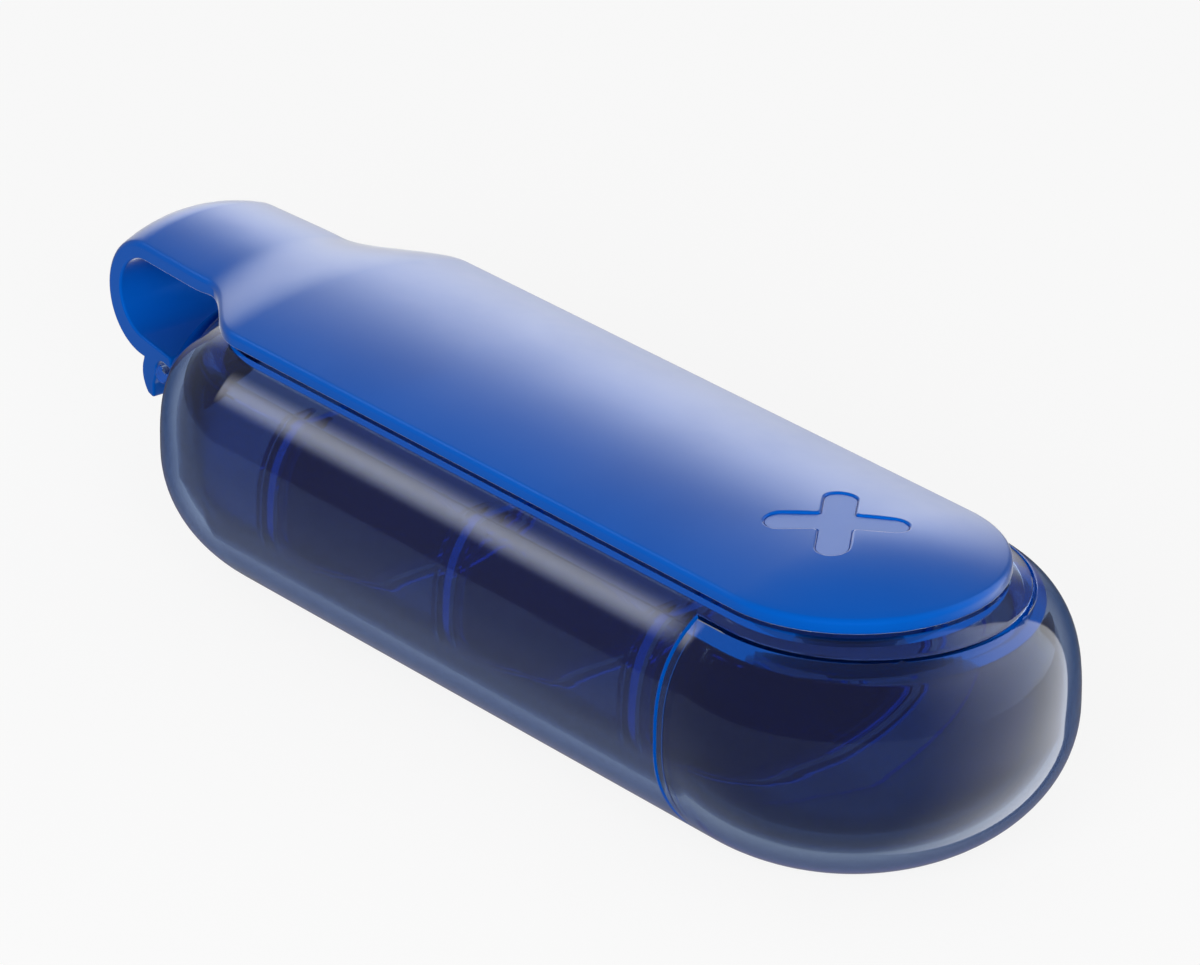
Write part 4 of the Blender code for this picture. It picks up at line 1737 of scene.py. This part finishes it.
@dataclass(frozen=True)
class FillLamp:
    """A large soft lamp that lights matt surfaces only."""

    name: str
    azimuth: float
    elevation: float
    width: float
    height: float
    watts: float
    distance: float = 1.2

    def build(self, target: Vector) -> Piece:
        """Build the lamp so that it looks at the target.

        Args:
            target: the point that it looks at.

        Returns:
            The lamp, which no reflection shows.
        """
        out = bearing(self.azimuth, self.elevation)
        data = bpy.data.lights.new(self.name, "AREA")
        data.shape = "RECTANGLE"
        data.size, data.size_y = self.width, self.height
        data.energy = self.watts
        lamp = linked(self.name, data)
        lamp.location = target + out * self.distance
        lamp.rotation_mode = "QUATERNION"
        lamp.rotation_quaternion = out.to_track_quat("Z", "Y")
        lamp.visible_camera = False
        lamp.visible_glossy = False
        lamp.visible_transmission = False
        return lamp


@dataclass(frozen=True)
class Studio:
    """Pale floor, dim surroundings, soft panels and the photograph's camera.

    The levels are radiances, and 1 is white. In the object's reflections the
    surroundings have the mirror level, and the dim level low behind it.
    """

    middle: Vector
    azimuth: float = 51.072
    elevation: float = 25.271
    distance: float = 0.6891
    focal_px: float = 7523.6
    photo_width_px: float = 1200.0
    photo_height_px: float = 965.0
    middle_x_px: float = 604.5
    middle_y_px: float = 563.1
    sensor_mm: float = 36.0
    near_share: float = 0.05
    view_reach: float = 24.0
    floor_half: float = 6.0
    floor_gap: float = 0.00002
    floor_albedo: float = 0.15
    floor_glow: float = 0.86
    floor_bounce: float = 0.22
    backdrop_level: float = 0.956
    fill_level: float = 0.29
    mirror_level: float = 0.25
    dim_level: float = 0.07
    dim_toward: tuple[float, float, float] = (-0.596, 0.482, -0.643)
    dim_span: Pair = (0.42, 0.84)
    panels: tuple[Softbox, ...] = (
        Softbox("left_panel", Pole.LENGTHWISE, turn=(99.0, 145.0), tilt=(-53.0, -41.8), radiance=3.7,
                soft_turn=(0.5, 0.5), soft_tilt=(0.14, 0.05)),
        Softbox("back_panel", Pole.UPRIGHT, turn=(110.0, 175.0), tilt=(-14.0, 32.0), radiance=3.7,
                soft_turn=(0.35, 0.35), soft_tilt=(0.78, 0.15), sampled=True),
        Softbox("right_panel", Pole.UPRIGHT, turn=(-14.0, 91.0), tilt=(-88.0, 70.0), radiance=2.6,
                soft_turn=(0.88, 0.02), soft_tilt=(0.30, 0.22)),
        Softbox("low_panel", Pole.UPRIGHT, turn=(96.0, 275.0), tilt=(-82.0, -14.0), radiance=0.17,
                soft_turn=(0.03, 0.25), soft_tilt=(0.40, 0.35)),
    )
    fill: FillLamp = FillLamp("front_fill", azimuth=-45.0, elevation=22.0, width=1.3, height=0.5,
                              watts=14.5)

    def build_camera(self) -> None:
        """Stand the camera where the photograph was taken from."""
        back = bearing(self.azimuth - 90.0, self.elevation)
        right = bearing(self.azimuth, 0.0)
        up = back.cross(right)
        metres_per_px = self.distance / self.focal_px
        aim = self.middle + right * (self.photo_width_px / 2 - self.middle_x_px) * metres_per_px
        aim += up * (self.middle_y_px - self.photo_height_px / 2) * metres_per_px
        data = bpy.data.cameras.new("photo_camera")
        data.sensor_fit = "HORIZONTAL"
        data.sensor_width = self.sensor_mm
        data.lens = self.focal_px * self.sensor_mm / self.photo_width_px
        data.clip_start = self.distance * self.near_share
        data.clip_end = self.view_reach
        camera = linked("photo_camera", data)
        camera.location = self.middle + back * self.distance
        camera.rotation_mode = "QUATERNION"
        camera.rotation_quaternion = (aim - camera.location).to_track_quat("-Z", "Y")
        bpy.context.scene.camera = camera

    def floor_material(self) -> Material:
        """Return a pale floor that shows white and still takes a shadow."""
        made, wires = new_material("pale_floor", cleared=True)
        glow = wires.remap(wires.background_share(), (0.0, 1.0), (self.floor_bounce, self.floor_glow))
        albedo = self.floor_albedo
        matt = wires.add("ShaderNodeBsdfDiffuse", {"Color": (albedo, albedo, albedo, 1.0)})
        wires.glow_over(glow, matt)
        return made

    def build_floor(self) -> None:
        """Lay the floor just under the case, where no reflection shows it."""
        bm = bmesh.new()
        bmesh.ops.create_grid(bm, x_segments=1, y_segments=1, size=self.floor_half)
        bmesh.ops.translate(bm, verts=bm.verts, vec=(0.0, 0.0, -self.floor_gap))
        floor = as_object("pale_floor", bm)
        floor.data.materials.append(self.floor_material())
        floor.visible_glossy = False

    def build_world(self) -> None:
        """Give the surroundings an even fill, a white backdrop and dim reflections.

        What lies low behind the object is dimmer still, which keeps the rims of
        the clear case dark.
        """
        world = bpy.data.worlds.new("soft_room")
        bpy.context.scene.world = world
        world.use_nodes = True
        world.cycles.sampling_method = "NONE"
        wires = Wiring(world.node_tree)
        path = wires.add("ShaderNodeLightPath").outputs
        level = wires.remap(wires.background_share(), (0.0, 1.0), (self.fill_level, self.backdrop_level))
        level = wires.remap(path["Is Glossy Ray"], (0.0, 1.0), (level, self.mirror_level))
        toward = wires.add("ShaderNodeVectorMath", {0: wires.place("Generated"), 1: self.dim_toward},
                           operation="DOT_PRODUCT").outputs["Value"]
        behind = wires.remap(toward, self.dim_span, (0.0, 1.0))
        dimmed = wires.math("MULTIPLY", behind, path["Is Reflection Ray"])
        level = wires.remap(dimmed, (0.0, 1.0), (level, self.dim_level))
        wires.feed_all(world.node_tree.nodes["Background"], {"Color": WHITE, "Strength": level})

    def build(self) -> None:
        """Build the camera, the floor, the surroundings and the panels."""
        bpy.context.scene.view_settings.view_transform = "Standard"
        self.build_camera()
        self.build_floor()
        self.build_world()
        for panel in self.panels:
            panel.build(self.middle)
        self.fill.build(self.middle)
        log.info("studio has %d panels", len(self.panels))


def main() -> None:
    """Build the pill organizer's looks and the studio around it."""
    logging.basicConfig(level=logging.INFO, format="%(name)s: %(message)s")
    groups = EffectGroups()
    navy = ClearPlastic(groups, "clear_navy", tint=(0.21, 0.29, 0.46),
                        second_tint=(0.19, 0.27, 0.44)).material()
    smoke = ClearPlastic(groups, "clear_smoke_navy", tint=(0.19, 0.25, 0.37),
                         second_tint=(0.17, 0.23, 0.35)).material()
    blue = ClearPlastic(groups, "clear_blue", tint=(0.48, 0.58, 0.84),
                        second_tint=(0.46, 0.56, 0.82)).material()
    soft = SoftTouch(groups).material()
    form = CaseForm.from_frame()
    case = ClearCase(form)
    moulding = SoftMoulding.from_frame(form)
    case.shell(navy)
    case.front(smoke)
    case.rail(navy, moulding.neck_width)
    DrawerTray(form).build(blue)
    moulding.build(soft, case)
    Studio(Vector((0.0, 0.0, form.lift))).build()


if __name__ == "__main__":
    main()
